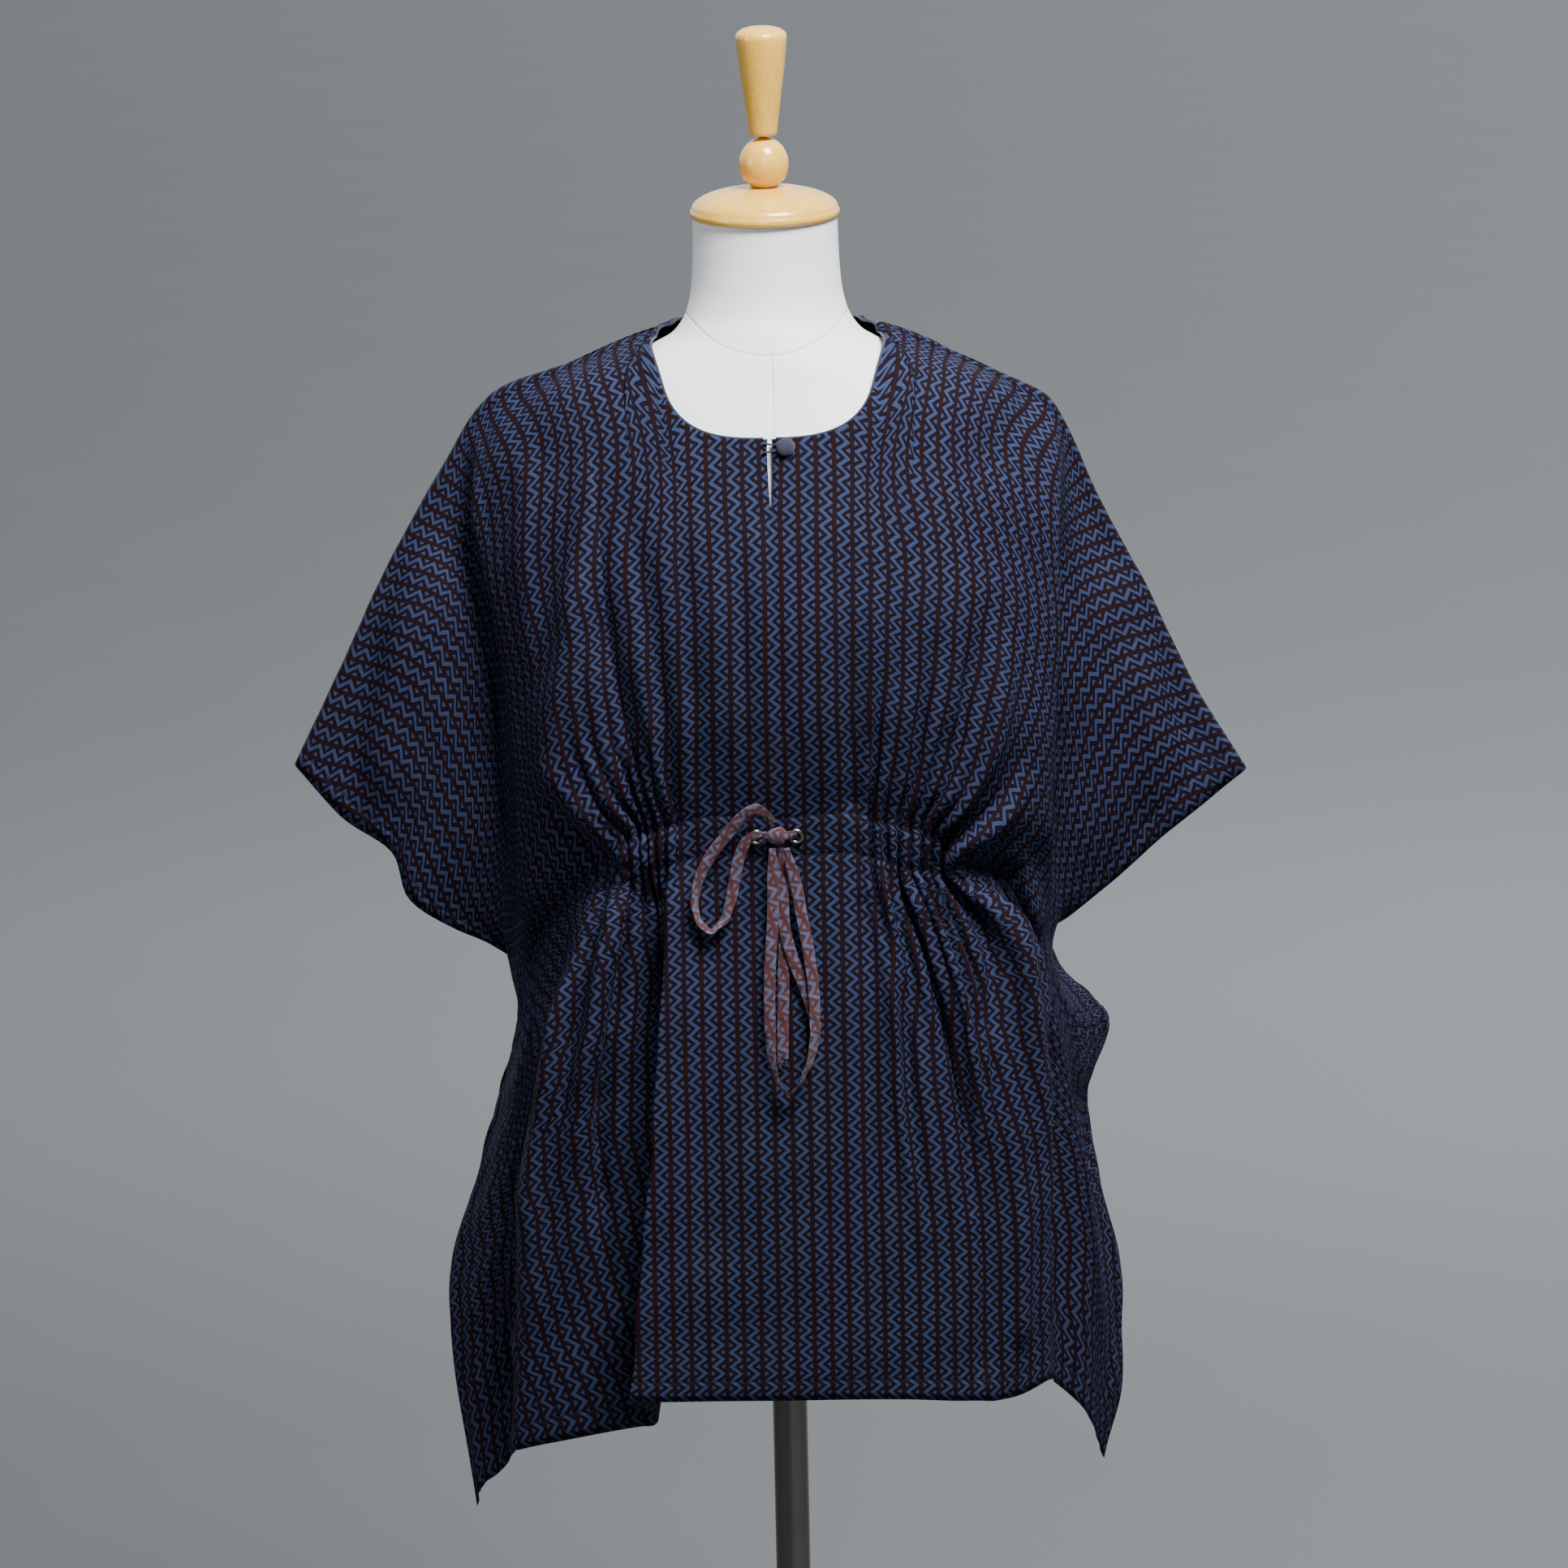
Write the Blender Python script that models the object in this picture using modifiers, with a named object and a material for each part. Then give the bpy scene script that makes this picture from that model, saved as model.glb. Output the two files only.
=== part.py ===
"""Short kaftan, drawn in at the waist by a tie, worn on a limbless dress form on a pole stand.

Metres, +Z up, the wearer's front faces -Y. The origin is the middle of the base's underside.
Tables are in millimetres. The cloth is worked out from named lines that run down each panel,
from the shoulder line to the hem, in the flat cut's own measure.
"""
import math

import bmesh
import bpy
import numpy as np
from mathutils.bvhtree import BVHTree

MM = 0.001

# Driving sizes of the cut, in millimetres
PANEL_LENGTH = 795
NECK_HALF_WIDTH = 76
FRONT_NECK_CUT = 110
BACK_NECK_CUT = 22
SLIT_LENGTH = 48
SLIT_HALF_GAP = 2.1
CUFF_DEPTH = 235
SIDE_SLIT_START = 675
CASING_DOWN = 390
WALL = 1.2
SEAM_GAP = 0.3
FORM_GAP = 2.8
FORM_EASE = 0.8
EDGE_TURN = 4.0
NECK_EASE = 25.0

# Heights of the garment on the form
SHOULDER_NECK_Z = 1409.5
FRONT_NECK_Z = 1341
BACK_NECK_Z = 1404
BACK_NECK_RISE = 7
NECK_ROUNDNESS = 2 / 3
NECK_TURN = 0.35

# Trim on the front
BINDING_RADIUS = 1.0
BUTTON_PLACE = (11.0, 1336.5)
BUTTON_LEAN = math.radians(69)
LOOP_RADIUS = 0.7
WAIST_Z = 1069
EYELETS = (-15.0, 12.5)
TAPE_WIDTH = 8.0
TAPE_THICK = 0.9
KNOT_PLACE = (0.0, 1070.5, 5.35)
KNOT_HALF = (7.5, 5.0, 6.5)

# The tie's stretches: how its flat side turns along it (share of length, degrees), the route
# (x, height, distance in front of the cloth) from the knot, and its number of sections
TIE_STRETCHES = {
    "tie_loop_left": (
        [(0, 10), (0.3, 0), (0.5, 55), (0.62, 75), (0.75, 10), (1, 0)],
        [(-3, 1080, 6), (-7, 1086, 7), (-14, 1091, 7.5), (-22, 1087, 7), (-33, 1074, 6),
         (-46, 1058, 6), (-54, 1043, 6.5), (-58, 1026, 6.5), (-54.5, 1010, 6), (-47, 1005, 6),
         (-40, 1010, 6), (-34, 1024, 5.5), (-30, 1042, 5), (-26, 1058, 5), (-20, 1069, 6),
         (-11.5, 1073, 6.5)], 40),
    "tie_loop_long": (
        [(0, 0), (0.35, 20), (0.48, 70), (0.54, 70), (0.65, 15), (1, 0)],
        [(5.5, 1062.5, 8.6), (8, 1052, 8.6), (11, 1041, 8.4), (15, 1017, 8.2), (18.5, 997, 8),
         (22, 970, 8), (23, 948, 8), (22, 927, 8), (17.5, 911, 8), (11, 898, 8), (4, 892, 8),
         (-3, 900, 8), (-7, 916, 8), (-8, 935, 8), (-8, 963, 8), (-7, 985, 8), (-5, 1009, 8.2),
         (-4, 1035, 8.4), (-4, 1052, 8.6), (-4, 1062.5, 8.6)], 48),
    "tie_tail_a": (
        [(0, 0), (1, -6)],
        [(2, 1062.5, 2.2), (3, 1048, 2.2), (3, 1031, 2.2), (3, 1005, 2.2), (2, 974, 2.2),
         (1, 945, 2.2), (0, 915, 2.2)], 26),
    "tie_tail_b": (
        [(0, 0), (1, 6)],
        [(1, 1062, 5.2), (2, 1048, 5.2), (2.5, 1031, 5.2), (4, 1002, 5.0), (9, 984, 4.8),
         (17, 963, 4.8), (22, 947, 4.8)], 24),
}

# Turned profiles, each row: radius, height above the seat; they run down the outer side
BUTTON_PROFILE = [
    (0, 5.6), (3.0, 5.3), (5.0, 4.4), (6.2, 3.4), (6.35, 2.8), (5.6, 2.5), (2.0, 2.4), (2.0, 0.0),
    (0, 0)]
EYELET_RADIUS = 5.5
EYELET_PROFILE = [
    (2.9, 0.0), (3.2, 0.9), (4.1, 1.3), (5.1, 0.9), (EYELET_RADIUS, 0.0), (2.9, 0.0)]
HANDLE_PROFILE = [
    (0, 75), (9, 74.2), (15, 72), (17.6, 69), (17.6, 66.5), (16.6, 55), (14.2, 36), (11.4, 15),
    (10, 4), (9.6, 0), (0, 0)]
LOOP_BEND = 3.1
LOOP_SWEEP = 125

# Form and stand
POLE_RADIUS = 12.5
POLE_TOP = 735
BASE_RADIUS = 170
BASE_THICK = 8
COLLAR_RADIUS = 24
COLLAR_HEIGHT = 38
COLLAR_FOOT = 6
CAP_TILT = math.radians(5)
CAP_RADIUS = 52
CAP_HEIGHT = 21
CAP_RIM = 6
BALL_RADIUS = 17.2
BALL_HEIGHT = 35
BALL_FOOT = 9.5
NECK_TOP_Z = 1486
GAP = 0.3

# Each row is a section of the form: height, half width, front depth, back depth, squareness
FORM_SECTIONS = [
    (1486, 51.0, 49, 49, 2.0), (1462, 51.5, 49, 49, 2.0), (1440, 53.0, 50, 50, 2.0),
    (1422, 57.0, 53, 52, 2.0), (1408, 66.0, 59, 57, 2.0), (1400, 80.0, 62, 60, 2.0),
    (1388, 112.0, 67, 66, 2.1), (1374, 147.0, 72, 74, 2.2), (1360, 167.0, 78, 81, 2.3),
    (1342, 174.5, 86, 88, 2.3), (1310, 173.0, 99, 95, 2.3), (1260, 165.0, 115, 99, 2.3),
    (1205, 158.0, 123, 98, 2.3), (1150, 151.0, 117, 94, 2.2), (1090, 134.0, 97, 86, 2.2),
    (1040, 123.0, 86, 82, 2.2), (985, 134.0, 93, 90, 2.2), (915, 154.0, 103, 103, 2.2),
    (845, 163.0, 107, 110, 2.2), (780, 162.0, 104, 107, 2.2), (746, 159.0, 101, 104, 2.2),
    (737, 152.0, 95, 98, 2.2), (735, 142.0, 86, 89, 2.2),
]

# Lines down the front, from the viewer's left edge to the right edge.
# Each row: distance down the cut, x, y, z. Left and right differ because the drape does.
FRONT_LINES = [
    ("left_edge", [
        (0, -340, 0, 1107), (48, -309, -8, 1070), (96, -272, -13, 1042), (125, -264, -16, 1014),
        (166, -232, -14, 989), (200, -205, -10, 975), (235, -187, 0, 957), (300, -187, 0, 930),
        (390, -192, 0, 900), (440, -198, 0, 880), (500, -208, 0, 848), (560, -220, 0, 805),
        (620, -234, 0, 765), (675, -244, 0, 715), (720, -242, -8, 668), (795, -228, -15, 560)]),
    ("left_sleeve_outer", [
        (0, -304, 0, 1178), (50, -266, -22, 1150), (100, -235, -26, 1105), (150, -212, -24, 1050),
        (200, -200, -20, 1005), (250, -192, -18, 965), (320, -186, -24, 935), (404, -182, -30, 925),
        (460, -188, -34, 885), (520, -196, -30, 850), (620, -214, -26, 775), (710, -224, -24, 690),
        (795, -222, -26, 580)]),
    ("left_sleeve_inner", [
        (0, -268, 0, 1250), (50, -232, -26, 1225), (100, -206, -24, 1175), (160, -194, -20, 1110),
        (220, -188, -24, 1048), (290, -184, -38, 996), (340, -180, -36, 982), (390, -174, -32, 972),
        (440, -176, -32, 942), (520, -181, -32, 880), (620, -192, -30, 800), (710, -202, -28, 715),
        (795, -210, -30, 590)]),
    ("left_valley", [
        (0, -232, 0, 1311), (60, -205, -14, 1262), (110, -196, -20, 1215), (170, -188, -24, 1150),
        (240, -184, -34, 1090), (300, -183, -48, 1045), (345, -172, -56, 1024), (390, -146, -60, 1018),
        (440, -150, -58, 985), (520, -168, -50, 905), (620, -178, -44, 820), (710, -186, -40, 730),
        (795, -200, -38, 606)]),
    ("left_crest", [
        (0, -191, 0, 1367), (60, -199, -30, 1318), (130, -194, -46, 1255), (210, -182, -56, 1180),
        (270, -177, -62, 1120), (320, -170, -68, 1075), (350, -150, -76, 1050), (390, -122, -80, 1036),
        (440, -136, -88, 1000), (520, -165, -88, 920), (620, -178, -81, 820), (710, -181, -76, 722),
        (795, -195, -66, 618)]),
    ("left_bust", [
        (0, -140, 0, 1385), (60, -146, -46, 1352), (130, -142, -78, 1292), (210, -146, -92, 1214),
        (290, -152, -96, 1140), (340, -132, -97, 1092), (376, -109, -93, 1062), (404, -107, -90, 1036),
        (440, -114, -100, 1010), (520, -126, -103, 932), (620, -141, -98, 836), (710, -150, -91, 738),
        (795, -155, -85, 632)]),
    ("left_return", [
        (0, -104, 0, 1399), (60, -120, -48, 1362), (130, -118, -85, 1300), (210, -115, -105, 1224),
        (290, -106, -110, 1154), (340, -93, -106, 1104), (376, -85, -99, 1074), (404, -84, -97, 1047),
        (440, -80, -90, 1012), (520, -80, -80, 936), (620, -82, -84, 836), (715, -86, -90, 738),
        (750, -89, -78, 690), (795, -92, -62, 636)]),
    ("left_knife", [
        (0, -76, 0, 1409.5), (20, -85, -18, 1401), (60, -95, -52, 1370), (130, -94, -89, 1304),
        (210, -88, -112, 1229), (290, -82, -116, 1160), (340, -76, -110, 1110),
        (376, -70, -102, 1078), (404, -70, -101, 1051),
        (440, -77, -112, 1016), (520, -84, -121, 938), (620, -93, -125, 840), (710, -104, -127, 750),
        (795, -111, -128, 673)]),
    ("left_placket", [
        (92, -52, -76, 1350), (130, -55, -93, 1315), (210, -60, -116, 1238), (290, -60, -120, 1165),
        (340, -58, -113, 1116), (376, -57, -104, 1082), (404, -57, -102, 1054), (440, -59, -106, 1018),
        (520, -66, -117, 939), (620, -76, -123, 840), (710, -84, -126, 751), (795, -88, -128, 672)]),
    ("centre", [
        (FRONT_NECK_CUT, 0, -85, FRONT_NECK_Z), (160, 0, -103, 1292), (230, 0, -123, 1225),
        (290, 0, -124, 1166),
        (340, 0, -116, 1117), (376, 0, -107, 1082), (404, 0, -104, 1054), (440, 0, -107, 1018),
        (520, 0, -117, 939), (620, 0, -124, 840), (710, 0, -127, 751), (795, 0, -129, 671)]),
    ("right_placket", [
        (92, 52, -76, 1350), (130, 55, -93, 1315), (210, 60, -116, 1238), (290, 60, -120, 1165),
        (340, 58, -113, 1116), (376, 57, -104, 1082), (404, 57, -102, 1054), (440, 60, -106, 1018),
        (520, 68, -116, 939), (620, 76, -122, 840), (710, 82, -125, 751), (795, 86, -126, 669)]),
    ("right_neck", [
        (0, 76, 0, 1409.5), (20, 85, -18, 1400), (60, 96, -52, 1369), (130, 97, -89, 1303),
        (210, 94, -112, 1226), (290, 88, -116, 1156), (340, 82, -110, 1108), (376, 76, -101, 1074),
        (404, 76, -98, 1048),
        (440, 84, -104, 1014), (520, 104, -112, 936), (620, 116, -116, 838), (710, 120, -118, 749),
        (795, 122, -119, 665)]),
    ("right_bust", [
        (0, 150, 0, 1377), (60, 150, -46, 1345), (130, 150, -78, 1286), (210, 154, -94, 1210),
        (290, 150, -99, 1138), (340, 130, -99, 1092), (376, 111, -93, 1062), (404, 110, -90, 1037),
        (440, 126, -97, 1006), (520, 148, -102, 932), (620, 154, -104, 834), (710, 156, -104, 746),
        (795, 155, -103, 661)]),
    ("right_crest", [
        (0, 193, 0, 1358), (60, 200, -36, 1306), (130, 198, -52, 1240), (210, 195, -62, 1165),
        (260, 190, -70, 1118), (310, 170, -82, 1080), (345, 142, -90, 1058), (390, 121, -88, 1042),
        (440, 160, -86, 1004), (480, 180, -86, 972), (520, 185, -84, 935), (620, 187, -82, 840),
        (710, 186, -80, 752), (795, 184, -78, 666)]),
    ("right_valley", [
        (0, 231, 0, 1282), (40, 209, -16, 1258), (90, 191, -20, 1215), (160, 184, -28, 1150),
        (230, 192, -50, 1092), (290, 191, -62, 1060), (340, 172, -60, 1040), (390, 148, -60, 1030),
        (440, 157, -54, 998), (480, 160, -50, 960), (520, 168, -47, 925), (620, 184, -46, 838),
        (710, 188, -47, 750),
        (795, 190, -50, 655)]),
    ("right_sleeve_inner", [
        (0, 267, 0, 1210), (50, 230, -26, 1186), (100, 204, -26, 1140), (160, 192, -20, 1085),
        (220, 190, -26, 1030), (290, 188, -38, 985), (340, 186, -42, 980), (390, 184, -44, 968),
        (440, 189, -46, 942), (520, 199, -42, 893), (620, 206, -40, 828), (710, 212, -36, 745),
        (795, 214, -34, 625)]),
    ("right_sleeve_outer", [
        (0, 298, 0, 1146), (50, 262, -22, 1122), (100, 232, -26, 1075), (150, 210, -24, 1030),
        (200, 198, -20, 995), (250, 192, -18, 962), (320, 200, -24, 936), (390, 212, -26, 915),
        (440, 216, -22, 885), (500, 209, -18, 850), (560, 212, -18, 815), (620, 220, -20, 775),
        (710, 230, -20, 680), (795, 222, -22, 600)]),
    ("right_edge", [
        (0, 332, 0, 1090), (40, 301, -10, 1066), (75, 270, -14, 1043), (130, 235, -14, 1012),
        (190, 206, -10, 988), (235, 190, 0, 972), (300, 202, 0, 945), (360, 222, 0, 925),
        (410, 233, 0, 905), (470, 222, 0, 872), (520, 217, 0, 850), (600, 226, 0, 790),
        (650, 238, 0, 735), (675, 241, 0, 705), (740, 240, -9, 640), (795, 226, -14, 586)]),
]

# Lines down the middle of the back. Its sides follow the front's side lines behind the form.
BACK_MIDDLE_LINES = [
    ("left_blade", [
        (0, -140, 0, 1385), (60, -146, 52, 1350), (130, -142, 76, 1290), (210, -144, 82, 1210),
        (290, -146, 84, 1132), (340, -130, 88, 1088), (376, -114, 88, 1060), (404, -112, 86, 1034),
        (440, -122, 92, 1002), (520, -140, 102, 926), (620, -150, 108, 828), (710, -154, 109, 738),
        (795, -155, 108, 646)]),
    ("left_neck", [
        (0, -76, 0, 1409.5), (20, -84, 22, 1401), (60, -90, 64, 1369), (130, -88, 92, 1305),
        (210, -88, 98, 1226), (290, -84, 99, 1148), (340, -76, 97, 1102), (376, -70, 92, 1072),
        (404, -70, 90, 1044),
        (440, -78, 97, 1010), (520, -92, 112, 932), (620, -100, 121, 834), (710, -104, 124, 744),
        (795, -106, 125, 658)]),
    ("back_centre", [
        (BACK_NECK_CUT, 0, 60, BACK_NECK_Z), (60, 0, 82, 1372), (130, 0, 98, 1306), (210, 0, 101, 1228),
        (290, 0, 100, 1150), (340, 0, 97, 1104), (376, 0, 91, 1074), (404, 0, 89, 1046),
        (440, 0, 96, 1012), (520, 0, 113, 935), (620, 0, 123, 836), (710, 0, 127, 746),
        (795, 0, 129, 660)]),
    ("right_neck", [
        (0, 76, 0, 1409.5), (20, 84, 22, 1400), (60, 90, 64, 1368), (130, 88, 92, 1304),
        (210, 88, 98, 1226), (290, 84, 99, 1148), (340, 76, 97, 1102), (376, 70, 92, 1072),
        (404, 70, 90, 1044),
        (440, 78, 97, 1010), (520, 94, 112, 932), (620, 102, 121, 834), (710, 106, 124, 744),
        (795, 108, 125, 658)]),
    ("right_blade", [
        (0, 150, 0, 1377), (60, 150, 52, 1343), (130, 148, 76, 1284), (210, 150, 82, 1206),
        (290, 148, 84, 1132), (340, 132, 88, 1088), (376, 116, 88, 1060), (404, 114, 86, 1034),
        (440, 124, 92, 1002), (520, 144, 102, 926), (620, 154, 108, 828), (710, 158, 109, 738),
        (795, 158, 108, 646)]),
]

# How far a line keeps its roundness at the folds, above and below the casing (1 is round)
LINE_ROUNDNESS = {"left_knife": (1.0, 0.2), "left_return": (1.0, 0.6), "right_crest": (0.6, 0.6)}

# Columns of the wall between neighbouring lines, from left to right
FRONT_COLUMNS = [2, 2, 2, 3, 3, 8, 4, 4, 4, 4, 5, 9, 3, 3, 2, 2, 2]
BACK_COLUMNS = [2, 2, 2, 2, 3, 6, 4, 4, 6, 3, 2, 2, 2, 2]

# Above this distance down the cut, a line that starts at the neck edge has its rows squeezed
EVEN_FROM = 210

# Distances down the cut at which the wall has a row of corners
ROW_LEVELS = [
    0, 4, 20, 46, 74, 100.5, 145, 195, 240, 280, 315, 345, 372, 390, 410, 440, 485, 545, 610, 675,
    735, PANEL_LENGTH]

# Gathers at the casing. Each row: first and last column, depth of a fold at the casing,
# reach up and reach down the cut, depth that is left at the hem
FRONT_GATHERS = [
    (12, 22, 2.1, 95, 80, 0.0),
    (36, 50, 2.5, 120, 130, 0.0)]
BACK_GATHERS = [
    (11, 17, 2.6, 90, 120, 0.0),
    (25, 31, 2.6, 90, 120, 0.0)]


def monotone_curve(knots, values, wanted):
    """Smooth curve through the knots that never swings past them (harmonic mean slopes)."""
    knots = np.asarray(knots, float)
    values = np.asarray(values, float)
    step = np.diff(knots)
    rise = np.diff(values, axis=0) / step[:, None]
    slope = np.zeros_like(values)
    slope[0] = rise[0]
    slope[-1] = rise[-1]
    same_way = rise[:-1] * rise[1:] > 0
    safe = np.where(same_way, rise[:-1] + rise[1:], 1.0)
    slope[1:-1] = np.where(same_way, 2 * rise[:-1] * rise[1:] / safe, 0.0)
    span = np.clip(np.searchsorted(knots, wanted, side="right") - 1, 0, len(knots) - 2)
    t = ((wanted - knots[span]) / step[span])[:, None]
    width = step[span][:, None]
    return ((2 * t**3 - 3 * t**2 + 1) * values[span]
            + (t**3 - 2 * t**2 + t) * width * slope[span]
            + (3 * t**2 - 2 * t**3) * values[span + 1]
            + (t**3 - t**2) * width * slope[span + 1])


def smooth_step(x):
    """Rises smoothly from 0 at 0 to 1 at 1."""
    x = np.clip(x, 0.0, 1.0)
    return x * x * (3 - 2 * x)


def form_section(height):
    """Half width, front depth, back depth and squareness of the form at each height."""
    table = np.array(FORM_SECTIONS[::-1], float)
    return np.stack([np.interp(height, table[:, 0], table[:, k]) for k in range(1, 5)], axis=-1)


def form_level(points):
    """Below 0 inside the form, above 0 outside, as a share of its size at that height."""
    section = form_section(points[..., 2])
    depth = np.where(points[..., 1] < 0, section[..., 1], section[..., 2])
    power = section[..., 3]
    across = np.abs(points[..., 0]) / section[..., 0]
    along = np.abs(points[..., 1]) / depth
    return (across**power + along**power + 1e-9) ** (1 / power) - 1


def form_slope(points, reach=0.5):
    """How form_level changes along x, y and z; it points straight out of the form."""
    return np.stack([
        (form_level(points + reach * axis) - form_level(points - reach * axis)) / (2 * reach)
        for axis in np.eye(3)], axis=-1)


def clear_of_form(points, gap, softness=5.0):
    """Pushes points that are inside or too near the form out along the form's own normal."""
    points = points.copy()
    for _ in range(3):
        level = form_level(points)
        slope = form_slope(points)
        size = np.linalg.norm(slope, axis=-1) + 1e-6
        distance = level / size
        target = 0.5 * (distance + gap + np.sqrt((distance - gap) ** 2 + softness**2))
        target = np.where(distance > gap + 3 * softness, distance, target)
        points += ((target - distance) / size)[..., None] * slope
        softness = 0.5
    return points


def across_lines(lines, counts, roundness):
    """Columns through the lines: a cubic whose tangents follow the chords on both sides."""
    chord = np.linalg.norm(np.diff(lines, axis=0), axis=2)[..., None] + 1e-6
    rise = np.diff(lines, axis=0) / chord
    tangent = np.empty_like(lines)
    tangent[0] = rise[0]
    tangent[-1] = rise[-1]
    tangent[1:-1] = (chord[1:] * rise[:-1] + chord[:-1] * rise[1:]) / (chord[:-1] + chord[1:])
    tangent *= roundness[..., None]
    columns = []
    for i, count in enumerate(counts):
        for t in np.arange(count) / count:
            columns.append(
                (2 * t**3 - 3 * t**2 + 1) * lines[i] + (t**3 - 2 * t**2 + t) * chord[i] * tangent[i]
                + (3 * t**2 - 2 * t**3) * lines[i + 1] + (t**3 - t**2) * chord[i] * tangent[i + 1])
    columns.append(lines[-1])
    return np.array(columns)


def surface_normals(grid, side):
    """Unit normals of a grid of columns by rows; side is -1 for the front and 1 for the back."""
    along = np.gradient(grid, axis=0)
    down = np.gradient(grid, axis=1)
    normal = np.cross(down, along) * (-side)
    return normal / (np.linalg.norm(normal, axis=-1, keepdims=True) + 1e-9)


def form_depth(x, z, side):
    """Depth of the form's surface behind or before a place seen from the front."""
    section = form_section(z)
    depth = section[..., 1] if side < 0 else section[..., 2]
    inside = np.clip(np.abs(x) / section[..., 0], 0, 1) ** section[..., 3]
    return depth * (1 - inside) ** (1 / section[..., 3])


def neckline(left_columns, right_columns, side):
    """Neck edge, left to right: a rounded half ellipse laid on the form, in even steps."""
    low = FRONT_NECK_Z if side < 0 else BACK_NECK_Z
    angle = np.linspace(0, math.pi / 2, 200)
    x = NECK_HALF_WIDTH * np.cos(angle) ** NECK_ROUNDNESS
    fall = np.sin(angle) ** NECK_ROUNDNESS
    z = SHOULDER_NECK_Z - (SHOULDER_NECK_Z - low) * fall
    if side > 0:
        z += BACK_NECK_RISE * np.sin(2 * angle)
    y = side * (form_depth(x, z, side) + FORM_GAP) * smooth_step(angle / NECK_TURN)
    edge = clear_of_form(np.stack([-x, y, z], axis=1), FORM_GAP, softness=1.0)
    run = np.concatenate([[0], np.cumsum(np.linalg.norm(np.diff(edge, axis=0), axis=1))])
    halves = []
    for columns in (left_columns, right_columns):
        even = np.linspace(0, run[-1], columns + 1)
        half = np.stack([np.interp(even, run, edge[:, k]) for k in range(3)], axis=1)
        half[0, 1] = side * SEAM_GAP / 2
        halves.append(half)
    return np.concatenate([halves[0], halves[1][-2::-1] * [-1, 1, 1]])


def panel_grid(lines, counts, levels, side, gathers, half_gap=SEAM_GAP / 2):
    """The inner face of a panel as columns by rows of points, in millimetres."""
    levels = np.asarray(levels, float)
    names = [name for name, _ in lines]
    rows = []
    for _, table in lines:
        table = np.array(table, float)
        squeeze = (EVEN_FROM - table[0, 0]) / EVEN_FROM
        wanted = np.where(levels < EVEN_FROM, table[0, 0] + levels * squeeze, levels)
        rows.append(monotone_curve(table[:, 0], table[:, 1:], wanted))
    below_casing = smooth_step((levels - CASING_DOWN) / 60)
    roundness = np.array([
        LINE_ROUNDNESS.get(name, (1, 1))[0] * (1 - below_casing)
        + LINE_ROUNDNESS.get(name, (1, 1))[1] * below_casing for name in names])
    grid = across_lines(np.array(rows), counts, roundness)
    starts = np.concatenate([[0], np.cumsum(counts)])
    middle = starts[names.index("centre" if side < 0 else "back_centre")]
    first = starts[names.index("left_knife" if side < 0 else "left_neck")]
    last = starts[names.index("right_neck")]
    shift = neckline(middle - first, last - middle, side) - grid[first:last + 1, 0]
    fade = 1 - smooth_step(levels / 150)
    grid[first:last + 1] += shift[:, None, :] * fade[None, :, None]
    grid = clear_of_form(grid, FORM_GAP)
    normal = surface_normals(grid, side)
    for left, right, depth, up, down, hem in gathers:
        above = np.clip((CASING_DOWN - levels) / up, 0, None)
        below = np.clip((levels - CASING_DOWN) / down, 0, None)
        strength = np.where(levels < CASING_DOWN, np.exp(-above**2), np.exp(-below**2) + hem)
        for column in range(left, right + 1):
            wave = 1 if (column - left) % 2 else -1
            push = depth * wave * strength
            grid[column] += push[:, None] * normal[column]
    edge_turn(grid, levels, side, half_gap)
    return grid


def edge_turn(grid, levels, side, half_gap):
    """Rounds the panel over at the shoulder line and at the side seams, up to the other panel."""
    down = np.clip(levels / EDGE_TURN, 0, 1)
    past_neck = smooth_step((np.abs(grid[:, 0, 0]) - NECK_HALF_WIDTH) / NECK_EASE)
    reach = 1.5 * EDGE_TURN * (0.35 + 0.65 * past_neck)
    over = half_gap + reach[:, None] * np.sqrt(1 - (1 - down) ** 2)
    grid[:, :, 1] = side * np.maximum(side * grid[:, :, 1], over)
    seam = (levels >= CUFF_DEPTH) & (levels <= SIDE_SLIT_START)
    for edge in (0, -1):
        grid[edge, seam, 1] = side * half_gap


def back_lines():
    """The back's lines: the front's side lines behind the form, and the back's own middle."""
    front = dict(FRONT_LINES)
    turned = {}
    for name in ("left_edge", "left_sleeve_outer", "left_sleeve_inner", "left_valley", "left_crest",
                 "right_crest", "right_valley", "right_sleeve_inner", "right_sleeve_outer",
                 "right_edge"):
        turned[name] = [(down, x, -y, z) for down, x, y, z in front[name]]
    order = ["left_edge", "left_sleeve_outer", "left_sleeve_inner", "left_valley", "left_crest"]
    lines = [(name, turned[name]) for name in order]
    lines += BACK_MIDDLE_LINES
    order = ["right_crest", "right_valley", "right_sleeve_inner", "right_sleeve_outer", "right_edge"]
    lines += [(name, turned[name]) for name in order]
    return lines


def material(name, colour, roughness, metallic=0.0):
    """A plain Principled material."""
    made = bpy.data.materials.new(name)
    made.use_nodes = True
    shader = made.node_tree.nodes["Principled BSDF"]
    shader.inputs["Base Color"].default_value = (*colour, 1.0)
    shader.inputs["Roughness"].default_value = roughness
    shader.inputs["Metallic"].default_value = metallic
    return made


def add_object(name, data, finish, collection):
    """Links new object data under the part's collection, with its material."""
    made = bpy.data.objects.new(name, data)
    collection.objects.link(made)
    data.materials.append(finish)
    return made


def mesh_from(name, points, faces):
    """A mesh from points in millimetres."""
    mesh = bpy.data.meshes.new(name)
    mesh.from_pydata((np.asarray(points) * MM).tolist(), [], faces)
    mesh.update()
    return mesh


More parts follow.
